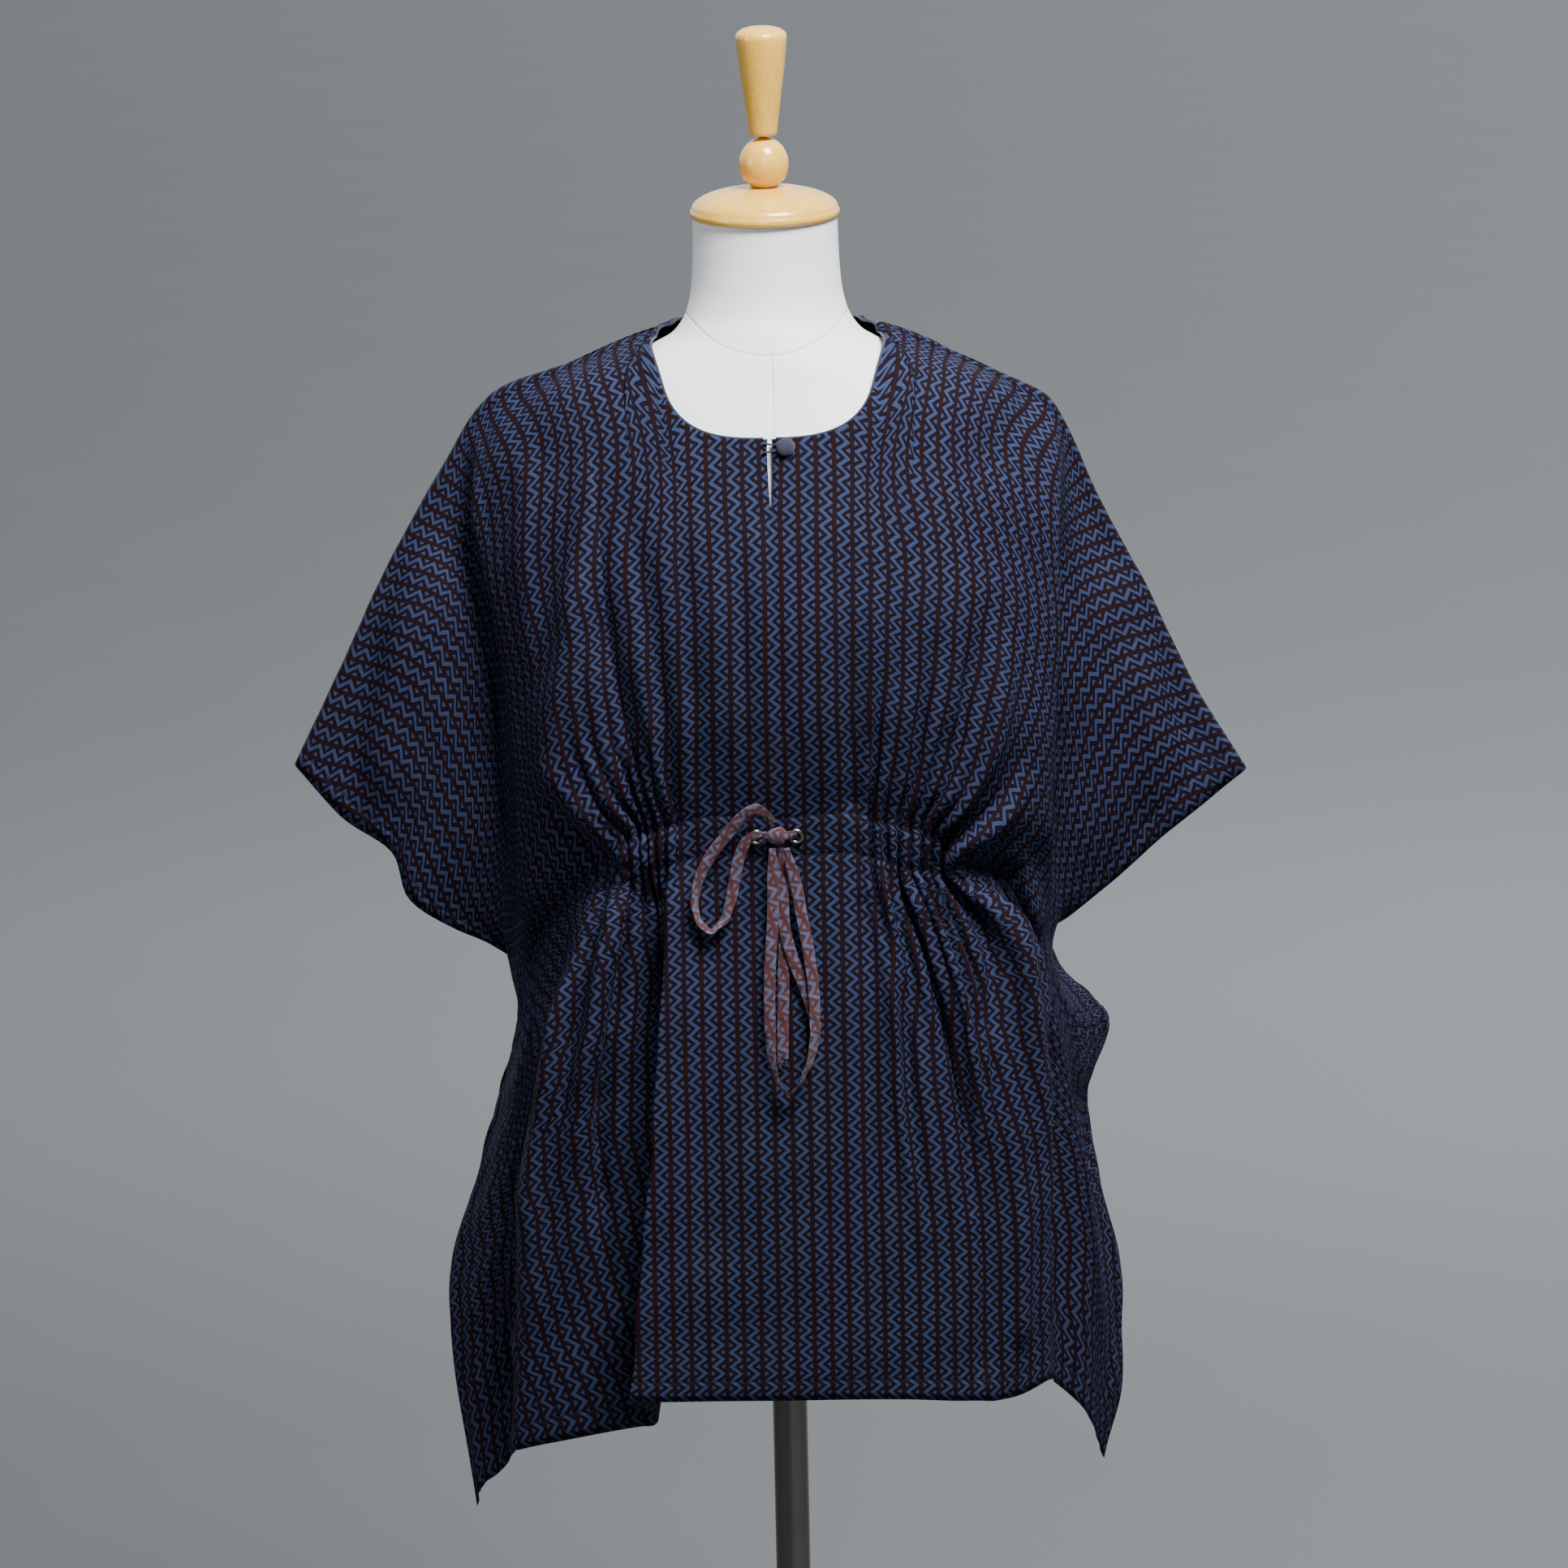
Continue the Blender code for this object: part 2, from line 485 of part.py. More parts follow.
def face_outwards(mesh):
    """Turns the faces of a closed mesh outwards."""
    working = bmesh.new()
    working.from_mesh(mesh)
    bmesh.ops.recalc_face_normals(working, faces=working.faces)
    working.to_mesh(mesh)
    working.free()
    return mesh


def grid_faces(index, flip, open_column=-1):
    """Quads of a table of corner numbers, columns by rows, but none across an open column."""
    faces = []
    for i in range(index.shape[0] - 1):
        if i == open_column:
            continue
        for j in range(index.shape[1] - 1):
            quad = (index[i, j], index[i + 1, j], index[i + 1, j + 1], index[i, j + 1])
            face = tuple(int(corner) for corner in quad)
            faces.append(face[::-1] if flip else face)
    return faces


def split_for_slit(grid, levels, middle):
    """Doubles the middle column above the slit's foot, so that the keyhole opens there."""
    count, rows, _ = grid.shape
    doubled = np.insert(grid, middle, grid[middle], axis=0)
    index = np.arange((count + 1) * rows).reshape(count + 1, rows)
    slit_level = SLIT_LENGTH * EVEN_FROM / (EVEN_FROM - FRONT_NECK_CUT)
    foot = int(np.argmin(np.abs(levels - slit_level)))
    index[middle + 1, foot:] = index[middle, foot:]
    share = np.clip(levels[:foot] / levels[foot], 0, 1)
    opening = SLIT_HALF_GAP * np.minimum(1, 0.6 + 3 * share) * np.sqrt(1 - share)
    doubled[middle, :foot, 0] -= opening
    doubled[middle + 1, :foot, 0] += opening
    return doubled, index


def make_panel(name, grid, index, side, finish, collection, open_column=-1):
    """A panel: the grid's faces with the wall's thickness added outwards."""
    faces = grid_faces(index, side < 0, open_column)
    mesh = mesh_from(name, grid.reshape(-1, 3), faces)
    working = bmesh.new()
    working.from_mesh(mesh)
    loose = [corner for corner in working.verts if not corner.link_faces]
    bmesh.ops.delete(working, geom=loose, context="VERTS")
    working.to_mesh(mesh)
    working.free()
    panel = add_object(name, mesh, finish, collection)
    wall = panel.modifiers.new("wall", "SOLIDIFY")
    wall.thickness = WALL * MM
    wall.offset = 1.0
    wall.use_even_offset = False
    return panel


def turned(name, profile, place, tilt, steps, finish, collection):
    """A turned piece: a profile of (radius, height) in millimetres, screwed round the Z axis."""
    mesh = bpy.data.meshes.new(name)
    points = [(radius * MM, 0, height * MM) for radius, height in profile]
    mesh.from_pydata(points, [(i, i + 1) for i in range(len(points) - 1)], [])
    piece = add_object(name, mesh, finish, collection)
    piece.location = [value * MM for value in place]
    piece.rotation_euler = (tilt, 0, 0)
    screw = piece.modifiers.new("turn", "SCREW")
    screw.steps = steps
    screw.render_steps = steps
    screw.use_merge_vertices = True
    screw.merge_threshold = 0.00005
    return piece


def smooth_path(points, count):
    """Evenly spaced points on a smooth curve through the route's own points."""
    points = np.asarray(points, float)
    length = np.concatenate([[0], np.cumsum(np.linalg.norm(np.diff(points, axis=0), axis=1))])
    tangent = np.gradient(points, length, axis=0)
    fine = np.linspace(0, length[-1], 12 * count)
    span = np.clip(np.searchsorted(length, fine, side="right") - 1, 0, len(points) - 2)
    width = (length[span + 1] - length[span])[:, None]
    t = (fine - length[span])[:, None] / width
    curve = ((2 * t**3 - 3 * t**2 + 1) * points[span] + (t**3 - 2 * t**2 + t) * width * tangent[span]
             + (3 * t**2 - 2 * t**3) * points[span + 1] + (t**3 - t**2) * width * tangent[span + 1])
    run = np.concatenate([[0], np.cumsum(np.linalg.norm(np.diff(curve, axis=0), axis=1))])
    even = np.linspace(0, run[-1], count)
    return np.stack([np.interp(even, run, curve[:, k]) for k in range(3)], axis=1)


def tube(name, route, radius, finish, collection, roundness=2):
    """A round cord along a route in millimetres, through its own corners."""
    curve = bpy.data.curves.new(name, "CURVE")
    curve.dimensions = "3D"
    curve.bevel_depth = radius * MM
    curve.bevel_resolution = roundness
    curve.use_fill_caps = True
    path = np.asarray(route) * MM
    spline = curve.splines.new("POLY")
    spline.points.add(len(path) - 1)
    for corner, place in zip(spline.points, path):
        corner.co = (*place, 1.0)
    return add_object(name, curve, finish, collection)


def slide_to_knot(ends, way, knot):
    """How far the corners of a tape's end can slide along a way before they are a gap from the knot."""
    steps = np.arange(-4.0, 8.0, 0.05)
    offset = ends + steps[:, None, None] * way - knot
    level = np.linalg.norm(offset / np.array(KNOT_HALF), axis=-1)
    clearance = (np.linalg.norm(offset, axis=-1) * (1 - 1 / level)).min(axis=1)
    too_near = np.argmax(clearance < SEAM_GAP)
    return steps[too_near - 1]


def ribbon(name, route, facing, count, knot, finish, collection):
    """A flat tape along a route; facing turns its flat side, in degrees from facing forward.

    Its start, and its end when that comes back to the knot, lie a seam's gap from the knot.
    """
    path = smooth_path(route, count)
    along = np.gradient(path, axis=0)
    along /= np.linalg.norm(along, axis=1, keepdims=True)
    turn = np.radians(np.interp(np.linspace(0, 1, count), *np.array(facing).T))
    forward = np.array([0, -1.0, 0])
    across = np.cross(along, forward)
    across /= np.linalg.norm(across, axis=1, keepdims=True) + 1e-9
    out = np.cross(across, along)
    across, out = (across * np.cos(turn)[:, None] + out * np.sin(turn)[:, None],
                   out * np.cos(turn)[:, None] - across * np.sin(turn)[:, None])
    half = TAPE_WIDTH / 2
    for end, way in ((0, -1), (-1, 1)):
        if np.linalg.norm(path[end] - knot) < 3 * KNOT_HALF[0]:
            span = path[end] + np.linspace(-half, half, 7)[:, None] * across[end]
            ends = np.concatenate([span + side * TAPE_THICK / 2 * out[end] for side in (-1, 1)])
            path[end] += slide_to_knot(ends, way * along[end], knot) * way * along[end]
    thick = TAPE_THICK / 2 * out
    corners = [path + half * across - thick, path + half * across + thick,
               path - half * across + thick, path - half * across - thick]
    points = np.stack(corners, axis=1).reshape(-1, 3)
    faces = [(4 * i + k, 4 * i + (k + 1) % 4, 4 * i + 4 + (k + 1) % 4, 4 * i + 4 + k)
             for i in range(count - 1) for k in range(4)]
    last = 4 * (count - 1)
    faces += [(3, 2, 1, 0), (last, last + 1, last + 2, last + 3)]
    mesh = mesh_from(name, points, faces)
    return add_object(name, face_outwards(mesh), finish, collection)


def build_form(collection):
    """Torso with neck, closed top and bottom, then the turned cap, ball and handle."""
    cover = material("form_cover", (0.82, 0.83, 0.85), 0.6)
    heights = [row[0] for row in FORM_SECTIONS]
    around = 36
    angle = np.arange(around) * 2 * math.pi / around
    rings = []
    for height in heights:
        half, front, back, power = form_section(np.array([float(height)]))[0]
        half, front, back = half - FORM_EASE, front - FORM_EASE, back - FORM_EASE
        x = half * np.sign(np.cos(angle)) * np.abs(np.cos(angle)) ** (2 / power)
        depth = np.where(np.sin(angle) < 0, front, back)
        y = depth * np.sign(np.sin(angle)) * np.abs(np.sin(angle)) ** (2 / power)
        lean = smooth_step((height - 1400) / (NECK_TOP_Z - 1400)) * math.tan(CAP_TILT)
        rings.append(np.stack([x, y, height + lean * y], axis=1))
    points = np.concatenate(rings)
    index = np.arange(len(heights) * around).reshape(len(heights), around)
    index = np.concatenate([index, index[:, :1]], axis=1)
    faces = grid_faces(index, flip=True)
    faces.append(tuple(int(i) for i in index[0, :-1]))
    faces.append(tuple(int(i) for i in index[-1, :-1][::-1]))
    shape = face_outwards(mesh_from("form_torso", points, faces))
    torso = add_object("form_torso", shape, cover, collection)
    torso.data.shade_smooth()
    wood = material("varnished_wood", (0.78, 0.55, 0.30), 0.3)
    up = np.array([0, -math.sin(CAP_TILT), math.cos(CAP_TILT)])
    seat = np.array([0, 0, NECK_TOP_Z]) + GAP * up
    dome = CAP_HEIGHT - CAP_RIM
    cap = [(0, CAP_HEIGHT)] + [(CAP_RADIUS * math.sin(a) - 1, CAP_RIM + dome * math.cos(a))
                               for a in np.radians([18, 34, 50, 64, 76, 90])]
    cap += [(CAP_RADIUS, 4), (CAP_RADIUS, 2), (CAP_RADIUS - 1.5, 0), (0, 0)]
    turned("neck_cap", cap, seat, CAP_TILT, 32, wood, collection)
    ball_low = CAP_HEIGHT + GAP
    ball_middle = BALL_HEIGHT / 2 - 1.5
    ball = [(0, BALL_HEIGHT)]
    ball += [(BALL_RADIUS * math.sin(a), ball_middle + (BALL_HEIGHT - ball_middle) * math.cos(a) - 1)
             for a in np.radians([24, 45, 65, 85, 105, 122])]
    ball += [(BALL_FOOT + 1, 1.5), (BALL_FOOT, 0), (0, 0)]
    turned("cap_ball", ball, seat + ball_low * up, CAP_TILT, 24, wood, collection)
    handle_low = ball_low + BALL_HEIGHT + GAP
    turned("cap_handle", HANDLE_PROFILE, seat + handle_low * up, CAP_TILT, 24, wood, collection)


def build_stand(collection):
    """Steel pole under the torso, a collar, and a round plate that stands on the floor."""
    steel = material("polished_steel", (0.45, 0.43, 0.42), 0.2, 1.0)
    low = BASE_THICK + GAP
    pole = [(0, POLE_TOP - GAP), (POLE_RADIUS, POLE_TOP - GAP), (POLE_RADIUS, low), (0, low)]
    turned("pole", pole, (0, 0, 0), 0, 28, steel, collection)
    inner = POLE_RADIUS + GAP
    collar = [(inner, low + COLLAR_HEIGHT), (COLLAR_RADIUS - COLLAR_FOOT, low + COLLAR_HEIGHT),
              (COLLAR_RADIUS - 2, low + COLLAR_HEIGHT - 4), (COLLAR_RADIUS, low + COLLAR_FOOT),
              (COLLAR_RADIUS + COLLAR_FOOT, low), (inner, low), (inner, low + COLLAR_HEIGHT)]
    turned("base_collar", collar, (0, 0, 0), 0, 28, steel, collection)
    plate = [(0, BASE_THICK), (BASE_RADIUS - 3, BASE_THICK), (BASE_RADIUS, BASE_THICK - 3),
             (BASE_RADIUS, 0), (0, 0)]
    turned("base_plate", plate, (0, 0, 0), 0, 48, steel, collection)


def cloth_depth(cloth, x, z):
    """Depth of the front panel's outer face at a place seen from the front."""
    found = cloth.ray_cast((x, -400.0, z), (0.0, 1.0, 0.0))[0]
    return found.y - WALL


def laid_on_cloth(cloth, route):
    """Turns rows of (x, height, distance in front of the cloth) into points."""
    return [(x, cloth_depth(cloth, x, z) - ahead, z) for x, z, ahead in route]


def build_binding(front, back, finish, collection):
    """Rolled binding along the neck edge, from one side of the keyhole round to the other."""
    starts = np.concatenate([[0], np.cumsum(FRONT_COLUMNS)])
    left, middle, right = starts[7], starts[9], starts[11]
    back_starts = np.concatenate([[0], np.cumsum(BACK_COLUMNS)])
    back_left, back_right = back_starts[6], back_starts[8]
    edge = np.concatenate([front[left:middle + 1, 0][::-1], back[back_left + 1:back_right, 0],
                           front[middle:right + 1, 0][::-1]])
    into_cloth = np.concatenate([
        (front[left:middle + 1, 2] - front[left:middle + 1, 0])[::-1],
        back[back_left + 1:back_right, 2] - back[back_left + 1:back_right, 0],
        (front[middle:right + 1, 2] - front[middle:right + 1, 0])[::-1]])
    into_cloth[middle - left] = front[left - 1, 0] - front[left, 0]
    into_cloth[-1 - (right - middle)] = front[right + 1, 0] - front[right, 0]
    edge[0, 0] -= 2 * SLIT_HALF_GAP
    edge[-1, 0] += 2 * SLIT_HALF_GAP
    run = np.gradient(edge, axis=0)
    run /= np.linalg.norm(run, axis=1, keepdims=True)
    away = np.sum(into_cloth * run, axis=1, keepdims=True) * run - into_cloth
    away /= np.linalg.norm(away, axis=1, keepdims=True)
    out = np.cross(run, away)
    out *= np.sign(np.sum(out * form_slope(edge), axis=1, keepdims=True))
    route = edge + away * (BINDING_RADIUS + 2 * SEAM_GAP) + out * WALL / 2
    tube("neck_binding", route, BINDING_RADIUS, finish, collection, roundness=1)


def build_front_trim(cloth, collection):
    """Button on its shank, the loop round it, the eyelets and the tie, on the front panel."""
    covered = material("covered_button", (0.03, 0.03, 0.07), 0.7)
    x, z = BUTTON_PLACE
    seat = np.array([x, cloth_depth(cloth, x, z) - SEAM_GAP, z])
    turned("button", BUTTON_PROFILE, seat, BUTTON_LEAN, 20, covered, collection)
    ahead = np.array([0, -math.sin(BUTTON_LEAN), math.cos(BUTTON_LEAN)])
    upward = np.array([0, math.cos(BUTTON_LEAN), math.sin(BUTTON_LEAN)])
    aside = np.array([1.0, 0, 0])
    sweep = np.radians(np.linspace(-LOOP_SWEEP, LOOP_SWEEP, 9))
    route = [seat + ahead * 1.3 + LOOP_BEND * (np.cos(a) * aside + np.sin(a) * upward)
             for a in sweep]
    start = seat + ahead * 1.0 - np.array([x + 5.0, 0, 0])
    route = [start - 3.4 * upward] + route + [start + 3.0 * upward]
    tube("button_loop", smooth_path(route, 26), LOOP_RADIUS, covered, collection, roundness=1)
    metal = material("eyelet_metal", (0.35, 0.32, 0.28), 0.35, 1.0)
    for name, x in (("eyelet_left", EYELETS[0]), ("eyelet_right", EYELETS[1])):
        above, below = (
            cloth_depth(cloth, x, WAIST_Z + EYELET_RADIUS * way) for way in (1, -1))
        beside = sum(cloth_depth(cloth, x + EYELET_RADIUS * way, WAIST_Z) for way in (1, -1)) / 2
        face = min(cloth_depth(cloth, x, WAIST_Z), (above + below) / 2, beside) - SEAM_GAP
        lean = math.atan2(2 * EYELET_RADIUS, above - below)
        turned(name, EYELET_PROFILE, (x, face, WAIST_Z), lean, 20, metal, collection)
    tape = material("tie_tape", (0.32, 0.09, 0.08), 0.85)
    x, z, ahead = KNOT_PLACE
    place = np.array([x, cloth_depth(cloth, x, z) - ahead, z])
    knot = bpy.data.meshes.new("tie_knot")
    working = bmesh.new()
    bmesh.ops.create_uvsphere(working, u_segments=16, v_segments=10, radius=MM)
    bmesh.ops.scale(working, vec=KNOT_HALF, verts=working.verts)
    bmesh.ops.translate(working, vec=place * MM, verts=working.verts)
    working.to_mesh(knot)
    working.free()
    add_object("tie_knot", knot, tape, collection)
    for name, (facing, route, count) in TIE_STRETCHES.items():
        laid = laid_on_cloth(cloth, route)
        ribbon(name, laid, facing, count, place, tape, collection)


def main():
    """Clears the scene and builds the dressed form."""
    for old in list(bpy.data.objects):
        bpy.data.objects.remove(old)
    collection = bpy.data.collections.new("kaftan_on_form")
    bpy.context.scene.collection.children.link(collection)
    build_form(collection)
    build_stand(collection)
    cloth = material("printed_cotton", (0.05, 0.06, 0.13), 0.85)
    levels = np.array(ROW_LEVELS, float)
    front = panel_grid(FRONT_LINES, FRONT_COLUMNS, levels, -1, FRONT_GATHERS)
    middle = sum(FRONT_COLUMNS[:9])
    split, index = split_for_slit(front, levels, middle)
    make_panel("front_panel", split, index, -1, cloth, collection, open_column=middle)
    back = panel_grid(back_lines(), BACK_COLUMNS, levels, 1, BACK_GATHERS)
    index = np.arange(back.shape[0] * back.shape[1]).reshape(back.shape[:2])
    make_panel("back_panel", back, index, 1, cloth, collection)
    build_binding(front, back, cloth, collection)
    index = np.arange(front.shape[0] * front.shape[1]).reshape(front.shape[:2])
    faces = grid_faces(index, True)
    build_front_trim(BVHTree.FromPolygons(front.reshape(-1, 3).tolist(), faces), collection)


main()
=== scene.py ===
import math

import bmesh
import bpy
import numpy as np
from mathutils import Matrix, Vector
from mathutils.bvhtree import BVHTree


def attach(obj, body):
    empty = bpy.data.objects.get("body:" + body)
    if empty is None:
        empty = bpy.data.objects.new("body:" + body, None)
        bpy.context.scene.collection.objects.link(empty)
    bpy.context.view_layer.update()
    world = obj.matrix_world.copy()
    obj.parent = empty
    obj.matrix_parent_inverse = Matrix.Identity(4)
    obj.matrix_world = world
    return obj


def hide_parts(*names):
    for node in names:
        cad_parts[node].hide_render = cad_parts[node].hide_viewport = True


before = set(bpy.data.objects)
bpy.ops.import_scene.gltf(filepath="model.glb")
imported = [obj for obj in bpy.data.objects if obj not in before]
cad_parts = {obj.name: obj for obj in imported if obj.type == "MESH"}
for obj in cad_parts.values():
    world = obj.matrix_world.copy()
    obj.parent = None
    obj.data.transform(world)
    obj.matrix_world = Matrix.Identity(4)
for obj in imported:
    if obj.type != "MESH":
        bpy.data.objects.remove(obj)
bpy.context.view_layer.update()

MM = 0.001

# The camera stands 3.6 m away, a little above the shoulders, and looks down 11 degrees with a
# slight roll. One pixel of the 1932 pixel picture is 0.575 mm at the middle of the garment.
CAMERA_DISTANCE = 3.6
CAMERA_PITCH = math.radians(11)
CAMERA_ROLL = math.radians(-1.2)
CAMERA_TARGET = Vector((0.005, 0.0, 1.085))
PIXEL = 0.000575
PICTURE_PIXELS = 1932
SENSOR = 36.0

view_way = Vector((0, math.cos(CAMERA_PITCH), -math.sin(CAMERA_PITCH)))
view_right = Vector((1, 0, 0))
view_up = view_right.cross(view_way)
rolled_right = view_right * math.cos(CAMERA_ROLL) + view_up * math.sin(CAMERA_ROLL)
rolled_up = view_up * math.cos(CAMERA_ROLL) - view_right * math.sin(CAMERA_ROLL)
camera_data = bpy.data.cameras.new("camera")
camera_data.sensor_width = SENSOR
camera_data.lens = SENSOR * CAMERA_DISTANCE / (PIXEL * PICTURE_PIXELS)
camera = bpy.data.objects.new("camera", camera_data)
bpy.context.scene.collection.objects.link(camera)
camera_turn = Matrix((rolled_right, rolled_up, -view_way)).transposed()
camera.matrix_world = (
    Matrix.Translation(CAMERA_TARGET - view_way * CAMERA_DISTANCE) @ camera_turn.to_4x4())
bpy.context.scene.camera = camera

# The tie: a flat tape of printed cotton, folded and stitched to 8 mm, that runs in the waist
# casing, comes out of two eyelets and is tied in a bow. Each free stretch hangs from the knot.
TAPE_WIDTH = 8.0
TAPE_THICK = 0.8
TAPE_CUPPED = 0.35
KNOT_PINCH, PINCH_REACH = 0.42, 12
KNOT_PLACE = (0.0, 1070.5, 5.35)
KNOT_HALF = (7.5, 5.0, 6.5)
BRICK_RED = (0.062, 0.0070, 0.0080)
MAUVE_BLUE = (0.068, 0.078, 0.155)

# How each stretch's flat side turns along it (share of length, degrees) and its route from the
# knot: x, height, distance in front of the cloth
TIE_STRETCHES = {
    "tie_loop_left": (
        [(0, 10), (0.3, 0), (0.5, 55), (0.62, 75), (0.75, 10), (1, 0)],
        [(-3, 1080, 6), (-7, 1086, 7), (-14, 1091, 7.5), (-22, 1087, 7), (-33, 1074, 6),
         (-46, 1058, 6), (-54, 1043, 6.5), (-58, 1026, 6.5), (-54.5, 1010, 6), (-47, 1005, 6),
         (-40, 1010, 6), (-34, 1024, 5.5), (-30, 1042, 5), (-26, 1058, 5), (-20, 1069, 6),
         (-11.5, 1073, 6.5)]),
    "tie_loop_long": (
        [(0, 0), (0.35, 20), (0.48, 70), (0.54, 70), (0.65, 15), (1, 0)],
        [(5.5, 1062.5, 8.6), (8, 1052, 8.6), (11, 1041, 8.4), (15, 1017, 8.2), (18.5, 997, 8),
         (22, 970, 8), (23, 948, 8), (22, 927, 8), (17.5, 911, 8), (11, 898, 8), (4, 892, 8),
         (-3, 900, 8), (-7, 916, 8), (-8, 935, 8), (-8, 963, 8), (-7, 985, 8), (-5, 1009, 8.2),
         (-4, 1035, 8.4), (-4, 1052, 8.6), (-4, 1062.5, 8.6)]),
    "tie_tail_a": (
        [(0, 0), (1, -6)],
        [(2, 1062.5, 2.2), (3, 1048, 2.2), (3, 1031, 2.2), (3, 1005, 2.2), (2, 974, 2.2),
         (1, 945, 2.2), (0, 915, 2.2)]),
    "tie_tail_b": (
        [(0, 0), (1, 6)],
        [(1, 1062, 5.2), (2, 1048, 5.2), (2.5, 1031, 5.2), (4, 1002, 5.0), (9, 984, 4.8),
         (17, 963, 4.8), (22, 947, 4.8)]),
}
TAPE_RINGS = 150


class Wire:
    """A shader socket. It adds, subtracts, multiplies and divides as a number does."""

    def __init__(self, tree, socket):
        self.tree = tree
        self.socket = socket

    def node(self, kind, settings=None, inputs=None, output=0):
        """Adds a node: its settings first, then a value or a link for each of its sockets."""
        made = self.tree.nodes.new(kind)
        for key, value in (settings or {}).items():
            setattr(made, key, value)
        for key, value in (inputs or {}).items():
            if isinstance(value, Wire):
                self.tree.links.new(value.socket, made.inputs[key])
            else:
                made.inputs[key].default_value = value
        return Wire(self.tree, made.outputs[output])

    def math(self, operation, *others):
        return self.node("ShaderNodeMath", {"operation": operation},
                         dict(enumerate((self, *others))))

    def __add__(self, other):
        return self.math("ADD", other)

    def __sub__(self, other):
        return self.math("SUBTRACT", other)

    def __mul__(self, other):
        return self.math("MULTIPLY", other)

    def __truediv__(self, other):
        return self.math("DIVIDE", other)

    def __abs__(self):
        return self.math("ABSOLUTE")

    def __neg__(self):
        return self.math("MULTIPLY", -1.0)

    def __rsub__(self, other):
        return (-self).math("ADD", other)

    __radd__ = __add__
    __rmul__ = __mul__

    def within(self, limit, blur):
        """1 where this is under the limit and 0 where it is over, blurred across the limit."""
        return self.node("ShaderNodeMapRange", {"interpolation_type": "SMOOTHSTEP"}, {
            "Value": self - limit, "From Min": -blur / 2, "From Max": blur / 2,
            "To Min": 1.0, "To Max": 0.0})

    def waves(self, length):
        """A sine of the given wavelength, from -1 to 1."""
        return (self * (2 * math.pi / length)).math("SINE")

    def colour(self, low, high):
        """Mixes from the low to the high colour by this value."""
        low, high = ((*c, 1.0) if isinstance(c, tuple) else c for c in (low, high))
        return self.node("ShaderNodeMix", {"data_type": "RGBA"}, {0: self, 6: low, 7: high}, 2)

    def shades(self, colour, low, high):
        """One colour from a low to a high share of its strength by this value."""
        return self.colour(tuple(low * c for c in colour), tuple(high * c for c in colour))

    def parts(self):
        """The three parts of a vector."""
        return [self.node("ShaderNodeSeparateXYZ", inputs={0: self}, output=k) for k in range(3)]

    def on_object(self):
        """The shaded point's place on its object, in metres."""
        return self.node("ShaderNodeTexCoord", output=3)

    def noise(self, size, detail=2.0, roughness=0.5):
        """Smooth noise from 0 to 1 on this vector in metres, its blobs of a size in millimetres."""
        return self.node("ShaderNodeTexNoise", {}, {
            "Vector": self, "Scale": 1000.0 / size, "Detail": detail, "Roughness": roughness})


def new_finish(name, **constants):
    """A material with a Principled shader, and a wire to start its nodes from."""
    made = bpy.data.materials.new(name)
    made.use_nodes = True
    shader = made.node_tree.nodes["Principled BSDF"]
    for key, value in constants.items():
        value = (*value, 1.0) if isinstance(value, tuple) else value
        shader.inputs[key.replace("_", " ")].default_value = value
    return made, Wire(made.node_tree, shader.outputs[0])


def feed(finish, height=None, bump_distance=0.2, **varying):
    """Links varying values to the Principled shader, and a height in millimetres to its normal."""
    shader = finish.node_tree.nodes["Principled BSDF"]
    for key, value in varying.items():
        finish.node_tree.links.new(value.socket, shader.inputs[key.replace("_", " ")])
    if height is not None:
        bump = height.node("ShaderNodeBump", {}, {
            "Height": height, "Distance": bump_distance * MM, "Strength": 1.0})
        finish.node_tree.links.new(bump.socket, shader.inputs["Normal"])


# The print's repeat: columns of zigzag between plain stripes, a small triangle in each notch
COLUMN_PITCH = 12.3
ZIGZAG_PERIOD = 10.9
ZIGZAG_SWING = 3.35
ZIGZAG_HALF_LINE = 1.75
ZIGZAG_REACH = 4.6
STRIPE_HALF = 1.25
TRIANGLE_TIP = 1.75
TRIANGLE_HALF_BASE = 1.95
OUTLINE = 0.55


def zigzag_print(across, down, blur=0.3):
    """Masks of the print in flat cloth millimetres: the light motif, and the stripe with its fill.

    Both sides of a column are alike, half a period apart, so only the distance from the column's
    middle counts. The zigzag is where that distance is near a triangle wave.
    """
    column = (across / COLUMN_PITCH).math("ROUND")
    aside = across - column * COLUMN_PITCH
    drift = column.node("ShaderNodeTexWhiteNoise", {"noise_dimensions": "1D"}, {"W": column})
    side = aside.math("LESS_THAN", 0.0)
    turn = (down + drift * 1.6) / ZIGZAG_PERIOD + side * 0.5
    from_notch = abs(turn.math("FRACT") - 0.5) * ZIGZAG_PERIOD
    apart = abs(aside)
    slope = 4 * ZIGZAG_SWING / ZIGZAG_PERIOD
    from_line = abs(apart - (from_notch * slope - ZIGZAG_SWING))
    inside = apart.within(ZIGZAG_REACH, blur)
    zigzag = from_line.within(ZIGZAG_HALF_LINE, blur) * inside
    lean = TRIANGLE_HALF_BASE / (ZIGZAG_REACH - TRIANGLE_TIP)
    from_triangle = from_notch - (apart - TRIANGLE_TIP) * lean
    triangle = from_triangle.within(0.0, blur) * inside
    stripe = 1 - apart.within(COLUMN_PITCH / 2 - STRIPE_HALF, blur)
    clear_of_line = 1 - from_line.within(ZIGZAG_HALF_LINE + OUTLINE * 1.6, blur)
    clear_of_triangle = 1 - from_triangle.within(OUTLINE, blur)
    fill = clear_of_line * clear_of_triangle * inside * 0.75
    return zigzag.math("MAXIMUM", triangle), stripe.math("MAXIMUM", fill)


